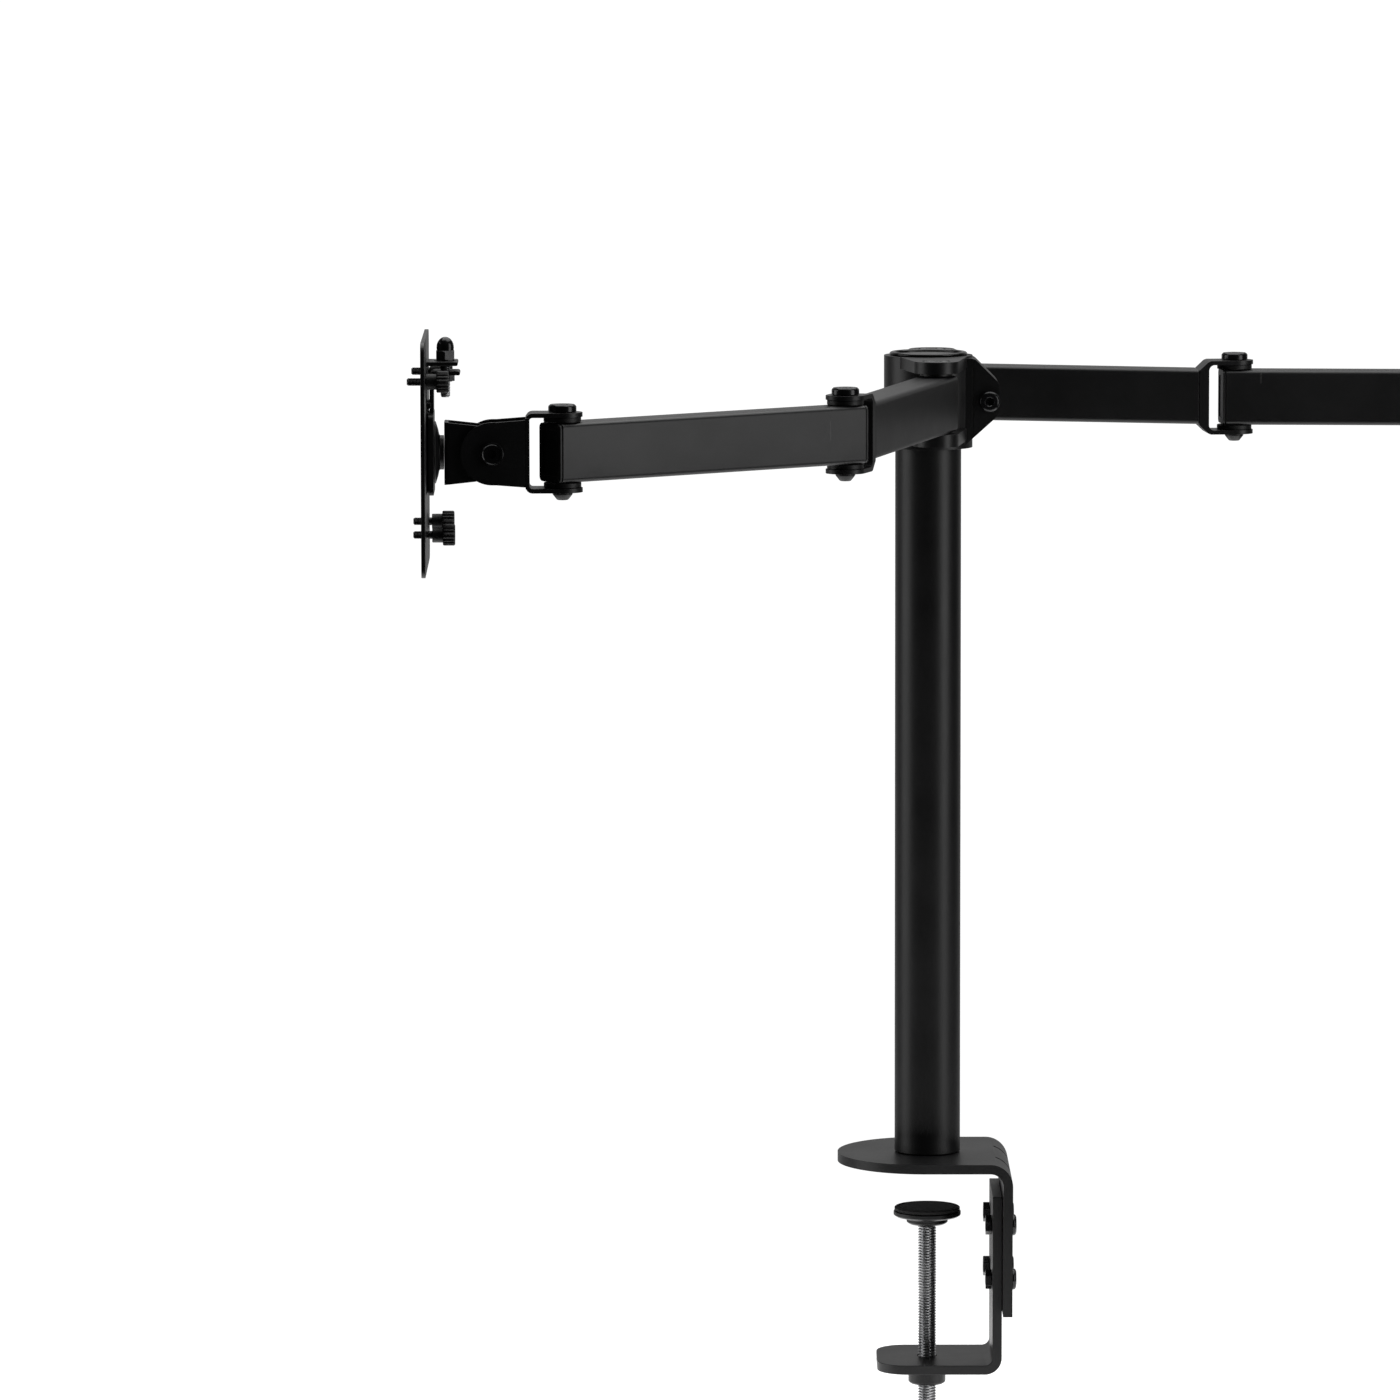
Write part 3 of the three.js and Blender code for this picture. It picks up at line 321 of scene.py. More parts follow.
class Finish:
    """A material with its one Principled shader."""

    def __init__(self, name, **constants):
        self.material = bpy.data.materials.new(name)
        self.material.use_nodes = True
        self.tree = self.material.node_tree
        self.shader = self.tree.nodes["Principled BSDF"]
        for socket, value in constants.items():
            self.shader.inputs[socket.replace("_", " ")].default_value = value
        self.place = self.node("ShaderNodeTexCoord", output="Object")

    def node(self, kind, settings=None, inputs=None, output=0):
        node = self.tree.nodes.new(kind)
        for name, value in (settings or {}).items():
            if name == "stops":
                for stop, (position, shade) in zip(self.stops(node, len(value)), value):
                    stop.position = position
                    stop.color = (shade, shade, shade, 1) if isinstance(shade, (int, float)) else (*shade, 1)
            else:
                setattr(node, name, value)
        for socket, value in (inputs or {}).items():
            if isinstance(value, Wire):
                self.tree.links.new(value.socket, node.inputs[socket])
            elif value is not None:
                node.inputs[socket].default_value = value
        return Wire(self, node.outputs[output])

    @staticmethod
    def stops(node, count):
        ramp = node.color_ramp
        while len(ramp.elements) < count:
            ramp.elements.new(0.5)
        return ramp.elements

    def noise(self, scale, detail=2, roughness=0.5, place=None):
        """Noise with so many patches to the metre."""
        return self.node("ShaderNodeTexNoise", {"noise_dimensions": "3D"}, {
            "Vector": place or self.place, "Scale": scale, "Detail": detail, "Roughness": roughness,
        }, "Fac")

    def stretched(self, x, y, z):
        return self.node("ShaderNodeMapping", {}, {"Vector": self.place, "Scale": (x, y, z)})

    def ramp(self, value, *stops):
        return self.node("ShaderNodeValToRGB", {"stops": stops}, {"Fac": value})

    def between(self, value, low, high, start=0.0, end=1.0):
        """The value's span from low to high, eased onto start to end."""
        return self.node("ShaderNodeMapRange", {"interpolation_type": "SMOOTHSTEP"}, {
            "Value": value, "From Min": low, "From Max": high, "To Min": start, "To Max": end,
        })

    def feed(self, socket, value):
        self.tree.links.new(value.socket, self.shader.inputs[socket])

    def bump(self, height, distance, strength):
        return self.node("ShaderNodeBump", {}, {"Height": height, "Distance": distance, "Strength": strength})


def colour_mix(finish, mask, first, second):
    """Mixes two colours, each a tuple or a wire."""
    inputs = {"Factor": mask}
    for number, value in ((6, first), (7, second)):
        inputs[number] = value if isinstance(value, Wire) else (*value, 1)
    return finish.node("ShaderNodeMix", {"data_type": "RGBA"}, inputs, 2)


def powder_coat(name, scratches=()):
    """Black powder coat on steel: a fine pebbled skin, rubbed smoother in patches.

    A scratch is its origin, the direction it is measured along, the distance along it, its
    height, its half width, its half height and its tone.
    """
    coat = Finish(name, IOR=1.5, Specular_IOR_Level=0.5)
    grain = coat.noise(1500, 3, 0.55)
    peel = coat.noise(330, 2, 0.5)
    patches = coat.noise(22, 4, 0.6)
    specks = coat.between(coat.noise(2600, 1, 0.5), 0.70, 0.78)
    shade = coat.ramp(patches, (0.3, (0.0038, 0.0038, 0.0041)), (0.7, (0.0062, 0.0062, 0.0066)))
    rough = coat.between(patches, 0.3, 0.7, 0.37, 0.42) + 0.08 * grain - 0.04
    shade = colour_mix(coat, specks * 0.5, shade, (0.03, 0.03, 0.031))
    height = grain * 0.55 + peel * 0.45
    for origin, direction, along, level, half_width, half_height, tone in scratches:
        offset = coat.node("ShaderNodeVectorMath", {"operation": "SUBTRACT"}, {0: coat.place, 1: origin})
        run = coat.node("ShaderNodeVectorMath", {"operation": "DOT_PRODUCT"},
                        {0: offset, 1: direction}, "Value")
        rise = coat.node("ShaderNodeSeparateXYZ", {}, {0: offset}, "Z")
        wander = (coat.noise(140, 2) - 0.5) * 0.0009
        width = 1 - coat.between(abs(run - along + wander), half_width * 0.35, half_width)
        length = 1 - coat.between(abs(rise - level), half_height * 0.75, half_height)
        mark = width * length * coat.between(coat.noise(900, 2), 0.35, 0.5)
        shade = colour_mix(coat, mark, shade, (tone, tone, tone))
        rough = rough - mark * 0.12
        height = height - mark * 0.6
    coat.feed("Base Color", shade)
    coat.feed("Roughness", rough)
    coat.feed("Normal", coat.bump(height, 0.00010, 0.4))
    return coat.material


def black_oxide(name):
    """Blackened bolt steel: glossy, oily, with fine turning marks."""
    steel = Finish(name, IOR=1.6)
    fine = steel.noise(900, 3, 0.6)
    smears = steel.noise(160, 3, 0.6)
    worn = steel.between(steel.noise(420, 4, 0.6), 0.60, 0.72)
    steel.feed("Base Color", colour_mix(steel, worn * 0.35, (0.010, 0.010, 0.011), (0.05, 0.05, 0.052)))
    steel.feed("Metallic", worn * 0.4 + 0.35)
    steel.feed("Roughness", steel.between(smears, 0.3, 0.7, 0.12, 0.22) + 0.05 * fine)
    steel.feed("Normal", steel.bump(fine, 0.00005, 0.35))
    return steel.material


def moulded(name, dark, light, gloss, grain_depth):
    """Injection-moulded black plastic, between two grey tones."""
    plastic = Finish(name, IOR=1.48)
    grain = plastic.noise(1100, 3, 0.6)
    flow = plastic.noise(60, 3, 0.6)
    plastic.feed("Base Color", plastic.ramp(flow, (0.3, dark), (0.7, light)))
    plastic.feed("Roughness", plastic.between(flow, 0.3, 0.7, gloss - 0.04, gloss + 0.05) + 0.08 * grain)
    plastic.feed("Normal", plastic.bump(grain, grain_depth, 0.5))
    return plastic.material


def rubber_sheet(name):
    """Matt rubber, dusty in patches."""
    rubber = Finish(name, IOR=1.45)
    grain = rubber.noise(800, 4, 0.7)
    dust = rubber.between(rubber.noise(260, 4, 0.65), 0.56, 0.72)
    rubber.feed("Base Color", colour_mix(rubber, dust * 0.4, (0.012, 0.012, 0.012), (0.06, 0.058, 0.055)))
    rubber.feed("Roughness", rubber.between(grain, 0.2, 0.8, 0.78, 0.92))
    rubber.feed("Normal", rubber.bump(grain, 0.0002, 0.6))
    return rubber.material


def zinc(name):
    """Bright zinc on turned steel, brushed round by the tool and clouded by handling."""
    steel = Finish(name, IOR=2.5)
    turning = steel.noise(60, 2, 0.5, steel.stretched(6, 6, 90))
    cloud = steel.noise(120, 4, 0.6)
    steel.feed("Base Color", colour_mix(steel, cloud, (0.42, 0.425, 0.44), (0.62, 0.62, 0.62)))
    steel.feed("Metallic", steel.between(cloud, 0.2, 0.8, 0.9, 1.0))
    steel.feed("Roughness", steel.between(cloud, 0.3, 0.7, 0.24, 0.42))
    steel.feed("Normal", steel.bump(turning, 0.00006, 0.4))
    return steel.material


FINISHES = {
    "coat": (powder_coat("powder_coat"), "powder_coat"),
    "bolt": (black_oxide("black_oxide"), "black_oxide"),
    "satin": (moulded("satin_plastic", 0.004, 0.008, 0.42, 0.0001), "black_plastic"),
    "gloss": (moulded("gloss_plastic", 0.006, 0.009, 0.16, 0.00003), "black_plastic"),
    "rubber": (rubber_sheet("rubber"), "rubber"),
    "zinc": (zinc("zinc"), "zinc_steel"),
}


def piece(name, bm, place, body, finish, stands_for=(), edge=0.35, sharp=32):
    """Finishes a piece: its place goes into its mesh, its edges are eased, and it rides on its body."""
    moved(bm, Matrix.Scale(MM, 4) @ place)
    mesh = bpy.data.meshes.new(name)
    bm.to_mesh(mesh)
    bm.free()
    mesh.shade_smooth()
    mesh.set_sharp_from_angle(angle=radians(sharp))
    obj = bpy.data.objects.new(name, mesh)
    scene.collection.objects.link(obj)
    if edge:
        bevel = obj.modifiers.new("eased_edges", "BEVEL")
        bevel.width = edge * MM
        bevel.segments = 2
        bevel.limit_method = "ANGLE"
        bevel.angle_limit = radians(sharp)
        bevel.harden_normals = True
        bevel.miter_outer = "MITER_ARC"
        bevel.use_clamp_overlap = True
    material, slot = finish if isinstance(finish, tuple) else FINISHES[finish]
    mesh.materials.append(material)
    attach(obj, body)
    if stands_for:
        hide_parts(*([stands_for] if isinstance(stands_for, str) else stands_for))
    return obj


HERE = Matrix.Identity(4)

# ------------------------------------------------------------------ desk clamp

def bent_strip(nose, outer, top, bottom, thick, bend):
    """A strip seen from the side: flat, a quarter bend, then a leg hanging down."""
    return [
        (nose, top - thick), (outer - thick, top - thick, bend - thick), (outer - thick, bottom),
        (outer, bottom), (outer, top, bend), (nose, top),
    ]


def bolt_holes(radius, x0, x1):
    return [moved(bar(radius, 0, x1 - x0, 20), at(x0, y, z, "+x"))
            for z in BOLT_ROWS for y in (-BOLT_Y, BOLT_Y)]


def base_plate():
    thick, bend = PLATE["thick"], PLATE["bend"]
    outline = bent_strip(PLATE["nose"], PLATE["flange_x"], thick, PLATE["flange_low"], thick, bend)
    strip = side_slab(outline, 2 * PLATE["half"], 18)
    plan = slab([
        (PLATE["nose"], -PLATE["half"], PLATE["half"]), (PLATE["flange_x"] + 2, -PLATE["half"]),
        (PLATE["flange_x"] + 2, PLATE["half"]), (PLATE["nose"], PLATE["half"], PLATE["half"]),
    ], PLATE["flange_low"] - 2, 8, 48)
    shoulders = [
        moved(slab([(30, 0), (60, 0), (60, 8), (30, 8)], PLATE["flange_low"] - 2, PLATE["shoulder"]),
              Matrix.Translation((0, y, 0)))
        for y in (PLATE["tongue"], -PLATE["tongue"] - 8)
    ]
    reach = (bend + 0.5) * sin(pi / 4)
    dent_x, dent_z = PLATE["flange_x"] - bend + reach, thick - bend + reach
    gussets = []
    for y in (-GUSSET_Y, GUSSET_Y):
        across = Matrix.Translation((dent_x, y, dent_z)) @ Matrix.Rotation(3 * pi / 4, 4, "Y")
        gussets.append(moved(bar(2.2, -12, 12, 20), across))
    countersink = turned([(0, -1), (11, -1), (11, 0.5), (5.3, 4), (5.3, 7), (0, 7)], 32)
    plate = shaped(strip, "INTERSECT", plan)
    return cut(plate, *shoulders, *gussets, countersink, *bolt_holes(THREAD_BORE, 36, 46))


def clamp_bracket():
    upright = bent_strip(JAW["nose"], JAW["x"], -JAW["low"], -JAW["top"], JAW["thick"], JAW["bend"])
    strip = [(x, -z, *corner) for x, z, *corner in upright]
    arm = side_slab(strip, 2 * JAW["half"], 14)
    plan = slab([
        (JAW["nose"], -JAW["half"], JAW["corner"]), (JAW["x"] + 2, -JAW["half"]),
        (JAW["x"] + 2, JAW["half"]), (JAW["nose"], JAW["half"], JAW["corner"]),
    ], JAW["low"] - 2, JAW["top"] + 2, 16)
    nut = turned([(0, -121), (8.9, -121), (10, -120), (10, -110.5), (0, -110.5)], 48)
    weld = turned([(9.6, -112.6), (11.3, -111.2), (11.3, -110.6), (9.6, -110.6)], 48, ring=True)
    body = joined(shaped(arm, "INTERSECT", plan), nut)
    return together(cut(body, bar(5.3, -125, -100), *bolt_holes(THREAD_BORE, 33, 41)), weld)


piece("base_plate_form", base_plate(), HERE, "base", "coat", "base_plate", 0.6)
piece("clamp_bracket_form", clamp_bracket(), HERE, "base", "coat", "clamp_bracket", 0.6)
for number, (y, z) in enumerate([(y, z) for z in BOLT_ROWS for y in (-BOLT_Y, BOLT_Y)], 1):
    spot = at(PLATE["flange_x"] + GAP, y, z, "+x")
    piece(f"bracket_bolt_{number}_form", button_bolt(5.7, 2.3, 4, 3, 9.7), spot, "base", "bolt",
          f"bracket_bolt_{number}", 0.12)
    nut = cut(turned([(0, -1.2), (5.4, -1.2), (5.4, -4.6), (0, -4.6)], 6), bar(3, -6, 0, 20))
    piece(f"bracket_nut_{number}", nut, at(PLATE["flange_x"] - 9.3, y, z, "+x"), "base", "bolt", (), 0.25)

pad_dish = turned([
    (0, -27.3), (18, -27.3), (18, -29.3), (16.8, -30.1), (11, -31.6), (11, -33.3), (9.6, -34.3), (6.3, -34.3),
    (6.3, -29.8), (0, -29.8),
], 64)
piece("clamp_pad_form", pad_dish, HERE, "clamp_pad", "coat", "clamp_pad", 0.3)
cushion = turned([
    (0, -27), (17.2, -27), (17.5, -26.5), (17.5, -25.4), (17, -25), (15.6, -25), (15.2, -25.5), (14.8, -25),
    (0, -25),
], 64)
piece("pad_cushion_form", cushion, HERE, "clamp_pad", "rubber", "pad_cushion", 0)
screw = threaded(5, -164, -35.6, SCREW_PITCH, 28, 0.55)
ball = turned([(0, -35.4), (4.4, -35.4), (5.2, -34.6), (6, -33), (6, -31.4), (5, -30.1), (0, -30.1)], 32)
piece("clamp_screw_form", together(screw, ball), HERE, "clamp_screw", "zinc", "clamp_screw", 0)


def clamp_knob():
    grip = turned([
        (0, -168), (17, -168), (19.6, -167), (21, -165), (21, -156), (20, -154.4), (17.5, -154), (10.6, -152.6),
        (10, -151), (10, -150.4), (9.6, -150), (6.2, -150), (5.3, -150.6), (5.3, -163.6), (0, -163.6),
    ], 144)
    rippled(grip, 6, 3.4, 16.5, -168, -153.9)
    return rippled(grip, 36, 0.5, 16.0, -165.6, -155.4)


piece("clamp_knob_form", clamp_knob(), HERE, "clamp_screw", "satin", "clamp_knob", 0, 40)

# ------------------------------------------------------------------ pole and collar

pole = turned([
    (5.3, 5.3), (POLE_RADIUS - 0.5, 5.3), (POLE_RADIUS, 5.8), (POLE_RADIUS, POLE_TOP - 0.5),
    (POLE_RADIUS - 0.5, POLE_TOP), (15, POLE_TOP), (15, 27.3), (5.3, 27.3),
], 128, ring=True)
piece("pole_form", pole, HERE, "base", "coat", "pole", 0)
foot = cut(turned([(0, 0.3), (10.2, 0.3), (10.2, 0.7), (5, 3.6), (5, 25), (0, 25)], 40), hexagon(6, -1, 3.2))
piece("pole_screw_form", foot, HERE, "base", "zinc", "pole_screw", 0.2)

cap_z = POLE_TOP + GAP
bead = [(19.1 + 1.5 * cos(step * pi / 12), cap_z + 0.35 + 1.15 * sin(step * pi / 12))
        for step in range(13)]
cap = turned([
    (0, cap_z - 14), (14, cap_z - 14), (14.7, cap_z - 13), (14.7, cap_z), (20.3, cap_z), *bead,
    (17.2, cap_z + 0.3), (16.2, cap_z + 0.22), (0, cap_z + 0.35),
], 128)
piece("pole_cap_form", cap, HERE, "base", "gloss", "pole_cap", 0, 25)


def lug(side, low, high):
    """A collar lug in plan: straight flanks out to a round end about the shoulder pin."""
    pin, tip = SHOULDER_Y * side, (SHOULDER_Y + LUG_RADIUS) * side
    right, left = SHOULDER_X + LUG_RADIUS, SHOULDER_X - LUG_RADIUS
    return slab([
        (20, 12 * side), (right, pin), (right, tip, LUG_RADIUS), (left, tip, LUG_RADIUS), (left, pin),
        (-15.6, 16 * side),
    ], low, high, 16)


def collar():
    slit = slab([(10, -2), (40, -2), (40, 2), (10, 2)], 380, 440)
    wall = bar(21.4, 380, 440, 96)
    sleeve = cut(turned([
        (COLLAR["bore"], COLLAR["low"]), (COLLAR["radius"], COLLAR["low"]), (COLLAR["radius"], COLLAR["top"]),
        (COLLAR["bore"], COLLAR["top"]),
    ], 96, ring=True), slit)
    ear = side_slab([
        (8, 430.8), (24, 430.8, 2), (37.6, 417.3, 3), (37.6, 401.3, 3), (19, 384.6), (8, 384.6),
    ], 2 * EAR_Y, 6)
    crease = slab([(23.3, -14), (23.75, -14), (23.75, -13.2), (23.3, -13.2)], 380, 440)
    ear_bore = moved(bar(THREAD_BORE, 0, 30, 24), at(PINCH_X, -15, PINCH_Z, "+y"))
    ear = cut(ear, wall, slit, crease, ear_bore)
    flaps = []
    for side in (-1, 1):
        spot = Matrix.Translation((SHOULDER_X, SHOULDER_Y * side, 0))
        pin_hole = moved(bar(PIN_BORE, 380, 440, 32), spot)
        sink = moved(bar(7.3, 428.2, 440, 48), spot)
        flaps.append(cut(lug(side, LUG_LEVELS["upper"], COLLAR["top"]), wall, pin_hole, sink))
        flaps.append(cut(lug(side, LUG_LEVELS["lower"], LUG_LEVELS["lower_top"]), wall, pin_hole))
    return joined(sleeve, ear, *flaps)


piece("collar_form", collar(), HERE, "collar", "coat", "collar", 0.5)
liner = turned([(17.8, 383), (19.3, 383), (19.3, 431.8), (17.8, 431.8)], 96, ring=True)
piece("collar_liner_form", liner, HERE, "collar_lift", "satin", "collar_liner", 0.2)
piece("collar_bolt_form", button_bolt(5.6, 3.2, 4, 3, 26), at(PINCH_X, -EAR_Y - GAP, PINCH_Z, "-y"), "collar",
      "bolt", "collar_bolt", 0.12)
pinch_nut = cut(turned([(0, 0), (5.4, 0), (5.4, 4), (0, 4)], 6), bar(3, -1, 6, 20))
piece("collar_pinch_nut", pinch_nut, at(PINCH_X, EAR_Y, PINCH_Z, "+y"), "collar", "bolt", (), 0.3)

for side, sign in (("left", -1), ("right", 1)):
    screw = cut(
        turned([
            (0, 387.7), (3.5, 387.7), (4, 388.2), (4, 428.5), (7, 428.5), (7, 431.1), (6.3, 431.8), (0, 431.8),
        ], 48),
        hexagon(5, 428.9, 434),
        turned([(0, 431.2), (2.7, 431.2), (3.4, 431.9), (0, 431.9)], 32),
    )
    spot = Matrix.Translation((SHOULDER_X, SHOULDER_Y * sign, 0))
    piece(f"{side}_shoulder_bolt_form", screw, spot, "collar", "bolt", f"{side}_shoulder_bolt", 0.15)

# ------------------------------------------------------------------ arms

def section(inset=0.0, corner=TUBE["corner"], segments=6):
    half_width, half_height = TUBE["wide"] / 2 - inset, TUBE["high"] / 2 - inset
    return rectangle(-half_width, half_width, -half_height, half_height, corner, segments)


def arm_tube(start, end, pins, slope):
    """A flat tube along X, bored for its pins, that sinks by slope along X."""
    tube = moved(pushed(pierced(section(), section(TUBE["wall"], 1, 3)), start, end), FACING)
    bored = cut(tube, *[moved(bar(PIN_BORE, -20, 20, 24), Matrix.Translation((x, 0, 0))) for x in pins])
    return moved(bored, Matrix(((1, 0, 0, 0), (0, 1, 0, 0), (-slope, 0, 1, 0), (0, 0, 0, 1))))


def end_cap():
    """A moulded plug at x = 0 that faces -X: a flange with a recessed panel."""
    flange = moved(pushed(section(0.2), -CAP_FLANGE, -GAP), FACING)
    panel = rectangle(-6.6, 6.6, -11.3, 11.3, 1.6, 5)
    panel = moved(pushed(panel, -CAP_FLANGE - 0.5, -CAP_FLANGE + 0.6), FACING)
    plug = moved(pushed(pierced(section(2.3, 1, 3), section(3.8, 0.6, 2)), -0.8, 1.4), FACING)
    return together(cut(flange, panel), plug)


def lug_bores():
    return [bar(PIN_BORE, 0, 25, 32), bar(THREAD_BORE, -25, 0, 32)]


def round_end(back, front, radius):
    return slab([
        (back, -radius), (front + radius, -radius, radius), (front + radius, radius, radius), (back, radius),
    ], -30, 30, 20)


def elbow_yoke():
    back = -YOKE["web"] - YOKE["foot"]
    half, inside = YOKE["half"], YOKE["half"] - YOKE["sheet"]
    outline = [
        (back, -TUBE["high"] / 2), (back + 5.4, -half, 1.4), (YOKE["lug"], -half), (YOKE["lug"], -inside),
        (-YOKE["web"], -inside, 3), (-YOKE["web"], inside, 3), (YOKE["lug"], inside), (YOKE["lug"], half),
        (back + 5.4, half, 1.4), (back, TUBE["high"] / 2),
    ]
    blank = shaped(side_slab(outline, TUBE["wide"], 6), "INTERSECT", round_end(back - 1, 0, YOKE["lug"]))
    return cut(blank, *lug_bores())


def joint_bolt():
    seat = YOKE["half"] + GAP
    body = turned([
        (0, -seat - 2), (2.5, -seat - 2), (3, -seat - 1.5), (3, -16.1), (4, -16.1), (4, seat), (6.8, seat),
        (7, seat + 0.2), (7, seat + 2.3), (6.85, seat + 2.8), (6.2, seat + 3.45), (5.9, seat + 3.6),
        (0, seat + 3.6),
    ], 64)
    mouth = turned([(0, seat + 3.1), (2.7, seat + 3.1), (3.5, seat + 3.7), (0, seat + 3.7)], 32)
    return cut(body, hexagon(5, seat + 1.2, seat + 5), mouth)


def cone_nut():
    top = -YOKE["half"] - GAP
    return turned([
        (0, top - 3.7), (2.5, top - 3.7), (2.95, top - 3.4), (4.9, top - 0.95), (5, top - 0.7), (5, top),
        (THREAD_BORE, top), (THREAD_BORE, top - 2.4), (0, top - 2.4),
    ], 48)


def ring_washer(inner, outer, low, high):
    return turned([
        (inner, low), (outer - 0.25, low), (outer, low + 0.25), (outer, high - 0.25), (outer - 0.25, high),
        (inner, high),
    ], 56, ring=True)


# ------------------------------------------------------------------ heads

def head_yoke():
    half, wide, sheet = YOKE["half"], HEAD["wide"] / 2, HEAD["sheet"]
    web_x, tilt, ear = HEAD["web"], HEAD["tilt"], HEAD["ear"]
    web = slab([(web_x, -wide), (web_x + sheet, -wide), (web_x + sheet, wide), (web_x, wide)], -half, half)
    lug_end, inside = YOKE["lug"], half - YOKE["sheet"]
    arch = side_slab([
        (-lug_end, inside), (-lug_end, half), (web_x + sheet, half, 3.4), (web_x + sheet, -half, 3.4),
        (-lug_end, -half), (-lug_end, -inside), (web_x, -inside, 1.6), (web_x, inside, 1.6),
    ], 2 * lug_end, 6)
    plan = slab([
        (-lug_end, -lug_end, lug_end), (web_x + 4, -lug_end), (web_x + 4, lug_end),
        (-lug_end, lug_end, lug_end),
    ], -30, 30, 20)
    arch = shaped(arch, "INTERSECT", plan)
    trimmed = shaped(web, "INTERSECT", side_slab([
        (web_x - 1, -HEAD["root"] - 0.6), (web_x + 4, -HEAD["root"] - 0.6), (web_x + 4, HEAD["root"] + 0.6),
        (web_x - 1, HEAD["root"] + 0.6),
    ], 40))
    blank = slab([(web_x, -wide, 2.6), (tilt + 20, -wide), (tilt + 20, wide), (web_x, wide, 2.6)], -22, 22, 5)
    hollow = slab([
        (web_x + sheet, -wide + sheet, 0.8), (tilt + 30, -wide + sheet), (tilt + 30, wide - sheet),
        (web_x + sheet, wide - sheet, 0.8),
    ], -40, 40, 4)
    profile = side_slab([
        (web_x - 2, -HEAD["root"]), (tilt - 2, -ear), (tilt + ear, -ear, ear), (tilt + ear, ear, ear),
        (tilt - 2, ear), (web_x - 2, HEAD["root"]),
    ], 40, 20)
    ears = cut(shaped(blank, "INTERSECT", profile), hollow)
    tilt_bore = moved(bar(THREAD_BORE, 0, 40, 24), at(tilt, -20, 0, "+y"))
    return cut(joined(ears, arch, trimmed), tilt_bore, *lug_bores())


def tilt_clevis():
    width = HEAD["wide"] - 2 * HEAD["sheet"] - 2 * GAP
    tilt = HEAD["tilt"]
    profile = side_slab([
        (CLEVIS_BACK, -15.5), (CLEVIS_BACK, 15.5), (tilt + 7.5, 13.75, 2), (tilt, 12), (tilt - 12, 12, 12),
        (tilt - 12, -12, 12), (tilt, -12), (tilt + 7.5, -13.75, 2),
    ], width, 16)
    inner = width / 2 - 2
    web = CLEVIS_BACK - 2
    hollow = slab([(tilt - 20, -inner), (web, -inner, 1.2), (web, inner, 1.2), (tilt - 20, inner)], -40, 40, 5)
    blank = slab([
        (tilt - 20, -width / 2), (CLEVIS_BACK, -width / 2, 2.6), (CLEVIS_BACK, width / 2, 2.6),
        (tilt - 20, width / 2),
    ], -40, 40, 6)
    bore = moved(bar(THREAD_BORE, 0, 40, 24), at(tilt, -20, 0, "+y"))
    return cut(shaped(profile, "INTERSECT", blank), hollow, bore)


def swivel_dish():
    neck, rim = CLEVIS_BACK + GAP, HOOK_X - GAP
    return moved(turned([
        (0, neck), (8.5, neck), (8.5, neck + 1.9), (9.1, neck + 2.3), (11.6, neck + 2.8), (13.8, neck + 3.5),
        (15.1, rim - 0.6), (15.4, rim - 0.35), (15.4, rim), (0, rim),
    ], 72), ALONG["+x"])


def lock_bore():
    return moved(bar(2.8, 20, 115, 24), Matrix.Translation((LOCK_X, 0, 0)))


def hook_plate():
    plate = moved(pushed(pierced(rectangle(-20, 20, -20, 20, 3, 6)), HOOK_X, HOOK_X + HOOK_SHEET), FACING)
    tab_end = VESA_X - 1 - TAB_LENGTH
    stem = side_slab([
        (HOOK_X, 16), (HOOK_X + 2, 16), (HOOK_X + 2, 40.6, 2.4), (tab_end, 40.6, 1), (tab_end, 38.6, 0.6),
        (HOOK_X, 38.6, 1),
    ], 18, 6)
    return cut(joined(plate, stem), lock_bore())


def vesa_plate():
    holes = [circle(y * pitch / 2, z * pitch / 2, 2.3, 28)
             for pitch in VESA_PATTERNS for y in (-1, 1) for z in (-1, 1)]
    face = pierced(rectangle(-VESA_HALF, VESA_HALF, -VESA_HALF, VESA_HALF, 6, 8), *holes)
    plate = moved(pushed(face, VESA_X, VESA_X + VESA_SHEET), FACING)
    tab = side_slab([
        (VESA_X - TAB_LENGTH, 45.4, 0.8), (VESA_X + 1, 45.4), (VESA_X + 1, 41.2), (VESA_X, 43.4, 1.6),
        (VESA_X - TAB_LENGTH, 43.4, 0.8),
    ], 24, 6)
    return cut(joined(plate, tab), lock_bore())


def guide_strip():
    """The pressed strip between the hook plate and the VESA plate, with its two upper nibs."""
    strip = rectangle(-13, 13, -19.5, 21.5, 2, 5)
    strip = moved(pushed(strip, HOOK_X + HOOK_SHEET + 0.1, VESA_X - 0.1), FACING)
    nibs = [
        moved(pushed(rectangle(y - 2.5, y + 2.5, 22.4, 25.4, 0.8, 4), HOOK_X + 1.2, VESA_X - 0.1), FACING)
        for y in (-9.5, 9.5)
    ]
    return together(strip, *nibs)


def lock_bolt():
    """The bolt through both tabs, with the nut under the lower one."""
    nut = turned([(2.5, 35.3), (4.6, 35.3), (4.6, 38.3), (2.5, 38.3)], 6, ring=True)
    bolt = together(threaded(2.5, 27.3, 48.4, 0.8, 24, 0.45), nut)
    return moved(bolt, Matrix.Translation((LOCK_X, 0, 0)))


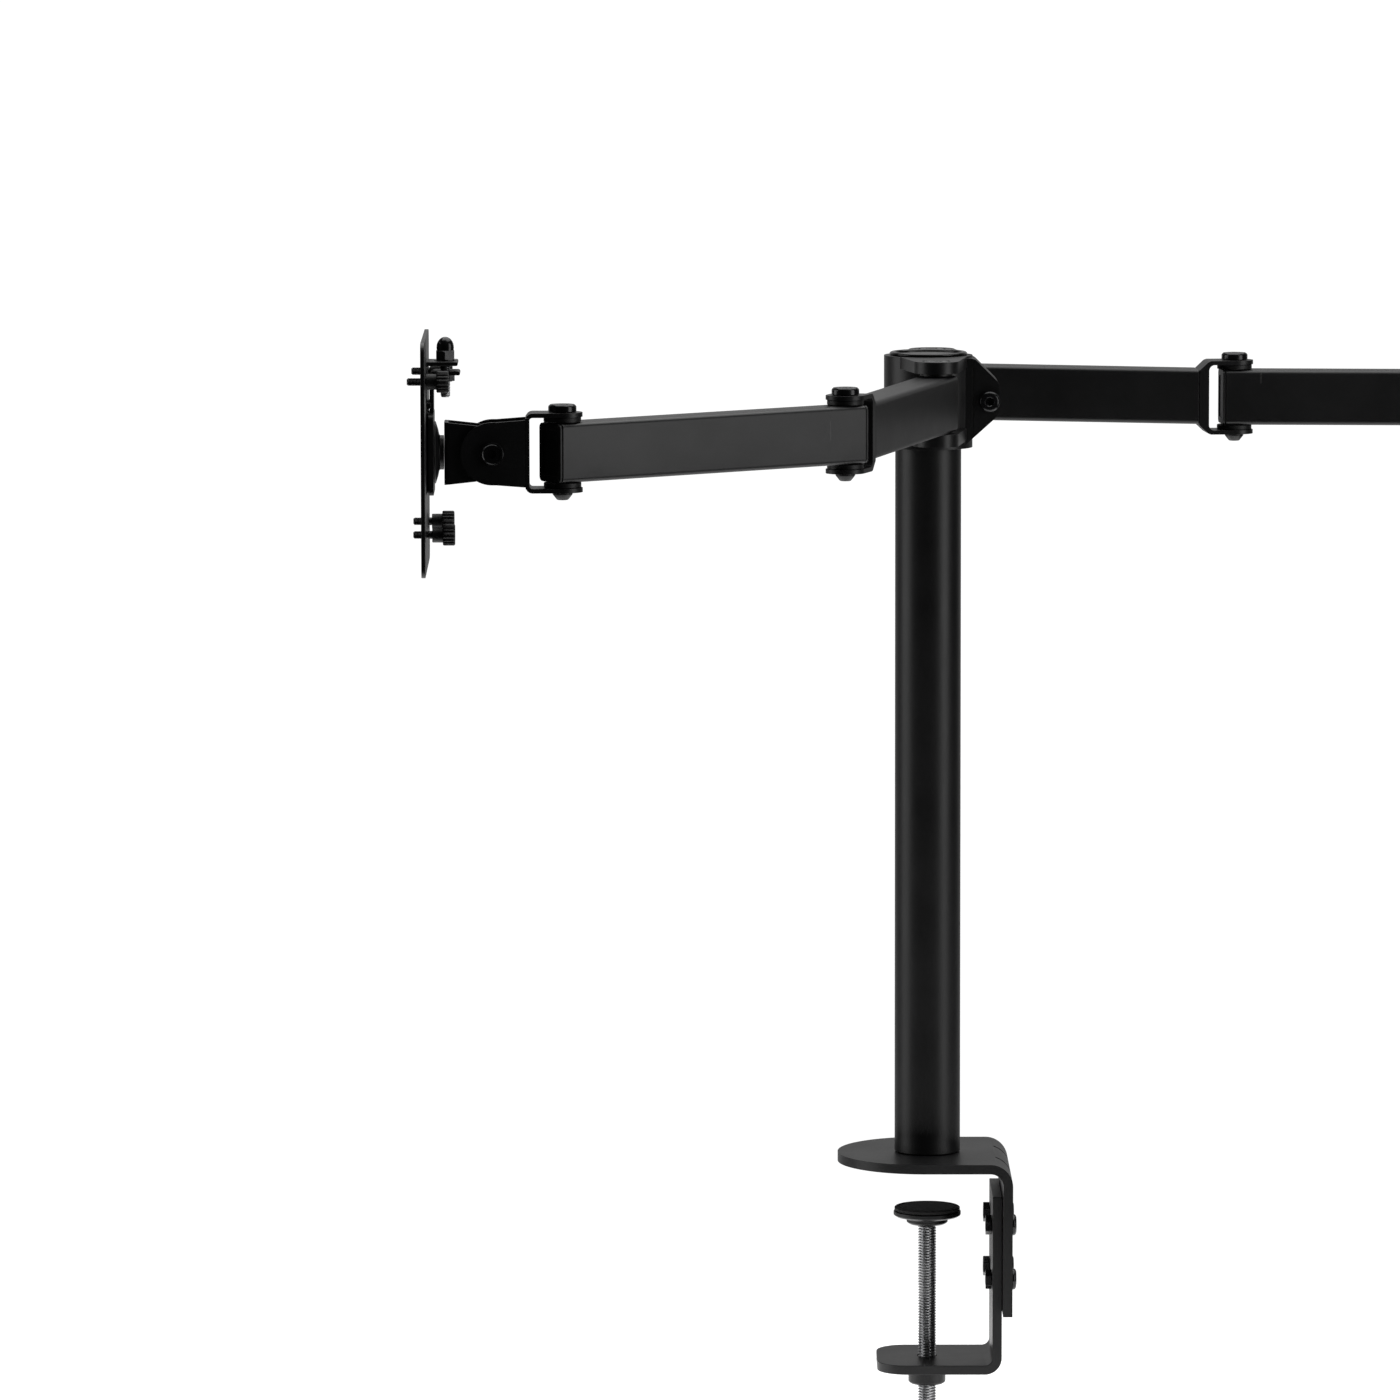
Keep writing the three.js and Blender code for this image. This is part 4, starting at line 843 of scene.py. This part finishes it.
def lock_nut():
    """A hexagon nut that carries a domed cap."""
    low = 45.7
    hexagonal = shaped(hexagon(8.9, low, low + 4.7), "INTERSECT", turned([
        (0, low), (4.5, low), (5.15, low + 0.5), (5.15, low + 4.1), (4.4, low + 4.7), (0, low + 4.7)], 36))
    dome = turned([(0, low + 4.4), (4.2, low + 4.4), (4.3, low + 6.2)] + [
        (4.3 * cos(a * pi / 16), low + 6.2 + 5.2 * sin(a * pi / 16)) for a in range(1, 9)], 40)
    washer = turned([(2.9, 45.42), (5.6, 45.42), (5.6, 45.7), (2.9, 45.7)], 40, ring=True)
    body = cut(joined(hexagonal, dome), bar(2.8, 40, 48.9, 24))
    return moved(together(body, washer), Matrix.Translation((LOCK_X, 0, 0)))


def thumbscrew_grip():
    low = GAP
    grip = turned([
        (0, -1.5), (1.95, -1.5), (1.95, low), (3.5, low), (3.8, low + 0.3), (3.8, low + 4.9), (3.95, low + 5.2),
        (4.9, low + 5.2), (5.3, low + 5.6), (5.3, low + 7.2), (5.3, low + 9.2), (5.3, low + 10.7),
        (4.8, low + 11.2), (3.1, low + 11.2), (2.9, low + 10.8), (0, low + 10.8),
    ], 108)
    return rippled(grip, 18, 0.55, 4.7, low + 5.1, low + 11.3)


def flat_bolt():
    """The tilt bolt: a low head with a rolled rim, a shallow dish and a hexagon socket."""
    body = turned([
        (0, -27.2), (2.5, -27.2), (3, -26.6), (3, 0), (5.6, 0), (5.8, 0.3), (5.8, 1.3), (5.6, 1.65), (5.3, 1.8),
        (4.9, 1.75), (4.5, 1.35), (4.2, 1.25), (0, 1.25),
    ], 64)
    return cut(body, hexagon(4, 0.1, 3))


def build_head(side, place, slack):
    head, tilt, vesa = f"{side}_head", f"{side}_tilt", f"{side}_vesa"
    piece(f"{side}_head_yoke_form", head_yoke(), place, head, "coat", f"{side}_head_yoke", 0.4)
    piece(f"{side}_wrist_bolt_form", joint_bolt(), place, head, "bolt", f"{side}_wrist_bolt", 0.12)
    piece(f"{side}_wrist_nut_form", cone_nut(), place, head, "coat", f"{side}_wrist_nut", 0.15)
    half = HEAD["wide"] / 2
    spot = place @ at(HEAD["tilt"], half + GAP, 0, "+y")
    piece(f"{side}_tilt_bolt_form", flat_bolt(), spot, head, "bolt", f"{side}_tilt_bolt", 0)
    nut = cut(turned([(0, 0), (5.6, 0), (5.6, 3.2), (0, 3.2)], 6), bar(3.05, -1, 5, 20))
    piece(f"{side}_tilt_nut", nut, place @ at(HEAD["tilt"], -half, 0, "-y"), head, "bolt", (), 0.3)
    piece(f"{side}_tilt_clevis_form", tilt_clevis(), place, tilt, "coat", f"{side}_tilt_clevis", 0.4)
    piece(f"{side}_swivel_dish_form", swivel_dish(), place, tilt, "coat", f"{side}_swivel_dish", 0.15)
    piece(f"{side}_hook_plate_form", hook_plate(), place, vesa, "coat", f"{side}_hook_plate", 0.35)
    piece(f"{side}_guide_strip", guide_strip(), place, vesa, "coat", (), 0.2)
    piece(f"{side}_vesa_plate_form", vesa_plate(), place, vesa, "coat", f"{side}_vesa_plate", 0.35)
    piece(f"{side}_lock_bolt_form", lock_bolt(), place, vesa, "zinc", f"{side}_lock_bolt", 0)
    piece(f"{side}_lock_nut_form", lock_nut(), place, vesa, "bolt", f"{side}_lock_nut", 0.15)
    seat = VESA_PATTERNS[0] / 2
    seats = [(y, z) for z in (seat, -seat) for y in (-seat, seat)]
    for number, ((y, z), out) in enumerate(zip(seats, slack), 1):
        spot = place @ at(VESA_X - out, y, z, "-x")
        piece(f"{side}_thumbscrew_{number}_form", thumbscrew_grip(), spot, vesa, "satin",
              f"{side}_thumbscrew_{number}", 0, 40)
        shank = threaded(2, -9, -1.4, 0.7, 20, 0.45)
        piece(f"{side}_thumbscrew_{number}_shank", shank, spot, vesa, "bolt", (), 0)


JOINTS = {joint["name"]: joint for joint in frame["joints"]}


def pin(name):
    return Vector(JOINTS[name]["pos_m"]) / MM


def standing(point, angle):
    return Matrix.Translation(point) @ Matrix.Rotation(angle, 4, "Z")


# Each outer tube's one scratch: distance from the elbow, height, half width, half height, tone.
MARKS = {
    "left": (0.016, 0.003, 0.0006, 0.0055, 0.0005),
    "right": (0.013, 0.0105, 0.0005, 0.0033, 0.06),
}

for side in ("left", "right"):
    shoulder, elbow, wrist = (pin(f"{side}_{name}") for name in ("shoulder", "elbow", "wrist"))
    inner_run, outer_run = elbow - shoulder, wrist - elbow
    inner_reach, outer_reach = hypot(*inner_run.xy), hypot(*outer_run.xy)
    inner, outer = atan2(inner_run.y, inner_run.x), atan2(outer_run.y, outer_run.x)
    axis = JOINTS[f"{side}_head_turn"]["axis"]
    head = atan2(axis[1], axis[0])
    inner_slope, outer_slope = -inner_run.z / inner_reach, -outer_run.z / outer_reach
    inner_body, outer_body = f"{side}_inner_arm", f"{side}_outer_arm"
    over = TUBE["over"]

    place = standing(shoulder, inner)
    tube_end = inner_reach - YOKE["web"] - YOKE["foot"] - GAP
    piece(f"{side}_inner_tube_form", arm_tube(-over, tube_end, [0], inner_slope), place, inner_body, "coat",
          f"{side}_inner_tube", 0.25)
    cap_spot = place @ Matrix.Translation((-over, 0, 0.15))
    piece(f"{side}_shoulder_cap", end_cap(), cap_spot, inner_body, "satin", (), 0.2)
    for number, (low, high) in enumerate(((15.0, 16.2), (-15.3, -14.95))):
        ring = turned([(4.4, low), (8.6, low), (8.6, high), (4.4, high)], 56, ring=True)
        piece(f"{side}_shoulder_washer_{number + 1}", ring, place, "collar", "satin", (), 0.1)

    place = standing(elbow, inner)
    piece(f"{side}_inner_yoke_form", elbow_yoke(), place, inner_body, "coat", f"{side}_inner_yoke", 0.4)
    piece(f"{side}_elbow_bolt_form", joint_bolt(), place, inner_body, "bolt", f"{side}_elbow_bolt", 0.12)
    piece(f"{side}_elbow_nut_form", cone_nut(), place, inner_body, "coat", f"{side}_elbow_nut", 0.15)
    for number, (low, high) in enumerate(((14.95, 17.45), (-17.45, -14.95))):
        ring = ring_washer(4.4, 9.3, low, high)
        piece(f"{side}_elbow_washer_{number + 1}", ring, place, inner_body, "satin", (), 0)

    place = standing(elbow, outer)
    marked = powder_coat(f"{side}_scratched_coat", [
        (tuple(elbow * MM), (cos(outer), sin(outer), 0), *MARKS[side])])
    piece(f"{side}_outer_tube_form", arm_tube(-over, outer_reach + over, [0, outer_reach], outer_slope), place,
          outer_body, (marked, "powder_coat"), f"{side}_outer_tube", 0.25)
    piece(f"{side}_elbow_cap_form", end_cap(), place @ Matrix.Translation((-over, 0, 0.1)), outer_body, "satin",
          f"{side}_elbow_cap", 0.2)
    far = place @ Matrix.Translation((outer_reach + over, 0, outer_run.z - 0.1)) @ Matrix.Rotation(pi, 4, "Z")
    piece(f"{side}_wrist_cap_form", end_cap(), far, outer_body, "satin", f"{side}_wrist_cap", 0.2)

    place = standing(wrist, head)
    for number, (low, high) in enumerate(((15.0, 17.45), (-17.45, -14.95))):
        ring = ring_washer(4.4, 9.3, low, high)
        piece(f"{side}_wrist_washer_{number + 1}", ring, place, f"{side}_head", "satin", (), 0)
    build_head(side, place, SLACK[side])

# ------------------------------------------------------------------ studio

# The floor lies below the knob at the end of the clamp screw's travel.
FLOOR_Z = cad_box[0][2] - 0.056
floor_mesh = bpy.data.meshes.new("floor")
floor_bm = bmesh.new()
bmesh.ops.create_circle(floor_bm, cap_ends=True, radius=0.75, segments=96,
                        matrix=Matrix.Translation((0, 0.1, FLOOR_Z)))
floor_bm.to_mesh(floor_mesh)
floor_bm.free()
floor = bpy.data.objects.new("floor", floor_mesh)
scene.collection.objects.link(floor)
paper = Finish("floor_paper", Base_Color=(0.92, 0.92, 0.92, 1), Roughness=0.9, Emission_Color=(1, 1, 1, 1),
               Emission_Strength=0.8)
floor_mesh.materials.append(paper.material)


def softbox(name, place, target, width, height, power):
    light = bpy.data.lights.new(name, "AREA")
    light.shape = "RECTANGLE"
    light.size, light.size_y, light.energy = width, height, power
    obj = bpy.data.objects.new(name, light)
    obj.location = place
    obj.rotation_euler = (Vector(target) - Vector(place)).to_track_quat("-Z", "Y").to_euler()
    scene.collection.objects.link(obj)


softbox("right_softbox", (1.62, -1.00, 0.55), (0, -0.1, 0.25), 0.9, 1.7, 10)
softbox("left_softbox", (-1.95, -0.20, 0.50), (-0.05, -0.1, 0.25), 1.3, 1.7, 10)
softbox("overhead_softbox", (0.1, 0.35, 2.1), (0, 0, 0.2), 2.4, 2.4, 40)

# The room is dim in front and light behind, and the camera sees plain white.
world = bpy.data.worlds.new("studio")
scene.world = world
world.use_nodes = True
nodes, links = world.node_tree.nodes, world.node_tree.links
nodes.clear()
direction = nodes.new("ShaderNodeTexCoord")
parts = nodes.new("ShaderNodeSeparateXYZ")
behind = nodes.new("ShaderNodeMapRange")
behind.interpolation_type = "SMOOTHSTEP"
behind.inputs["From Min"].default_value = 0.4
behind.inputs["From Max"].default_value = 1.0
behind.inputs["To Min"].default_value = 0.008
behind.inputs["To Max"].default_value = 0.40
room = nodes.new("ShaderNodeBackground")
backdrop = nodes.new("ShaderNodeBackground")
mix = nodes.new("ShaderNodeMixShader")
path = nodes.new("ShaderNodeLightPath")
output = nodes.new("ShaderNodeOutputWorld")
links.new(direction.outputs["Generated"], parts.inputs[0])
links.new(parts.outputs["Y"], behind.inputs["Value"])
links.new(behind.outputs[0], room.inputs["Strength"])
links.new(path.outputs["Is Camera Ray"], mix.inputs[0])
links.new(room.outputs[0], mix.inputs[1])
links.new(backdrop.outputs[0], mix.inputs[2])
links.new(mix.outputs[0], output.inputs[0])
room.inputs["Color"].default_value = (1, 1, 1, 1)
backdrop.inputs["Color"].default_value = (1, 1, 1, 1)
backdrop.inputs["Strength"].default_value = 1.05

camera_data = bpy.data.cameras.new("camera")
camera_data.lens = 208.75
camera_data.sensor_width = 36
camera_data.clip_end = 100
camera = bpy.data.objects.new("camera", camera_data)
camera.location = (-0.10266, -4.29341, 0.72656)
camera.rotation_euler = (radians(90 - 6.36), radians(0.1), radians(0.2368))
scene.collection.objects.link(camera)
bpy.context.scene.camera = camera
scene.view_settings.view_transform = "Standard"
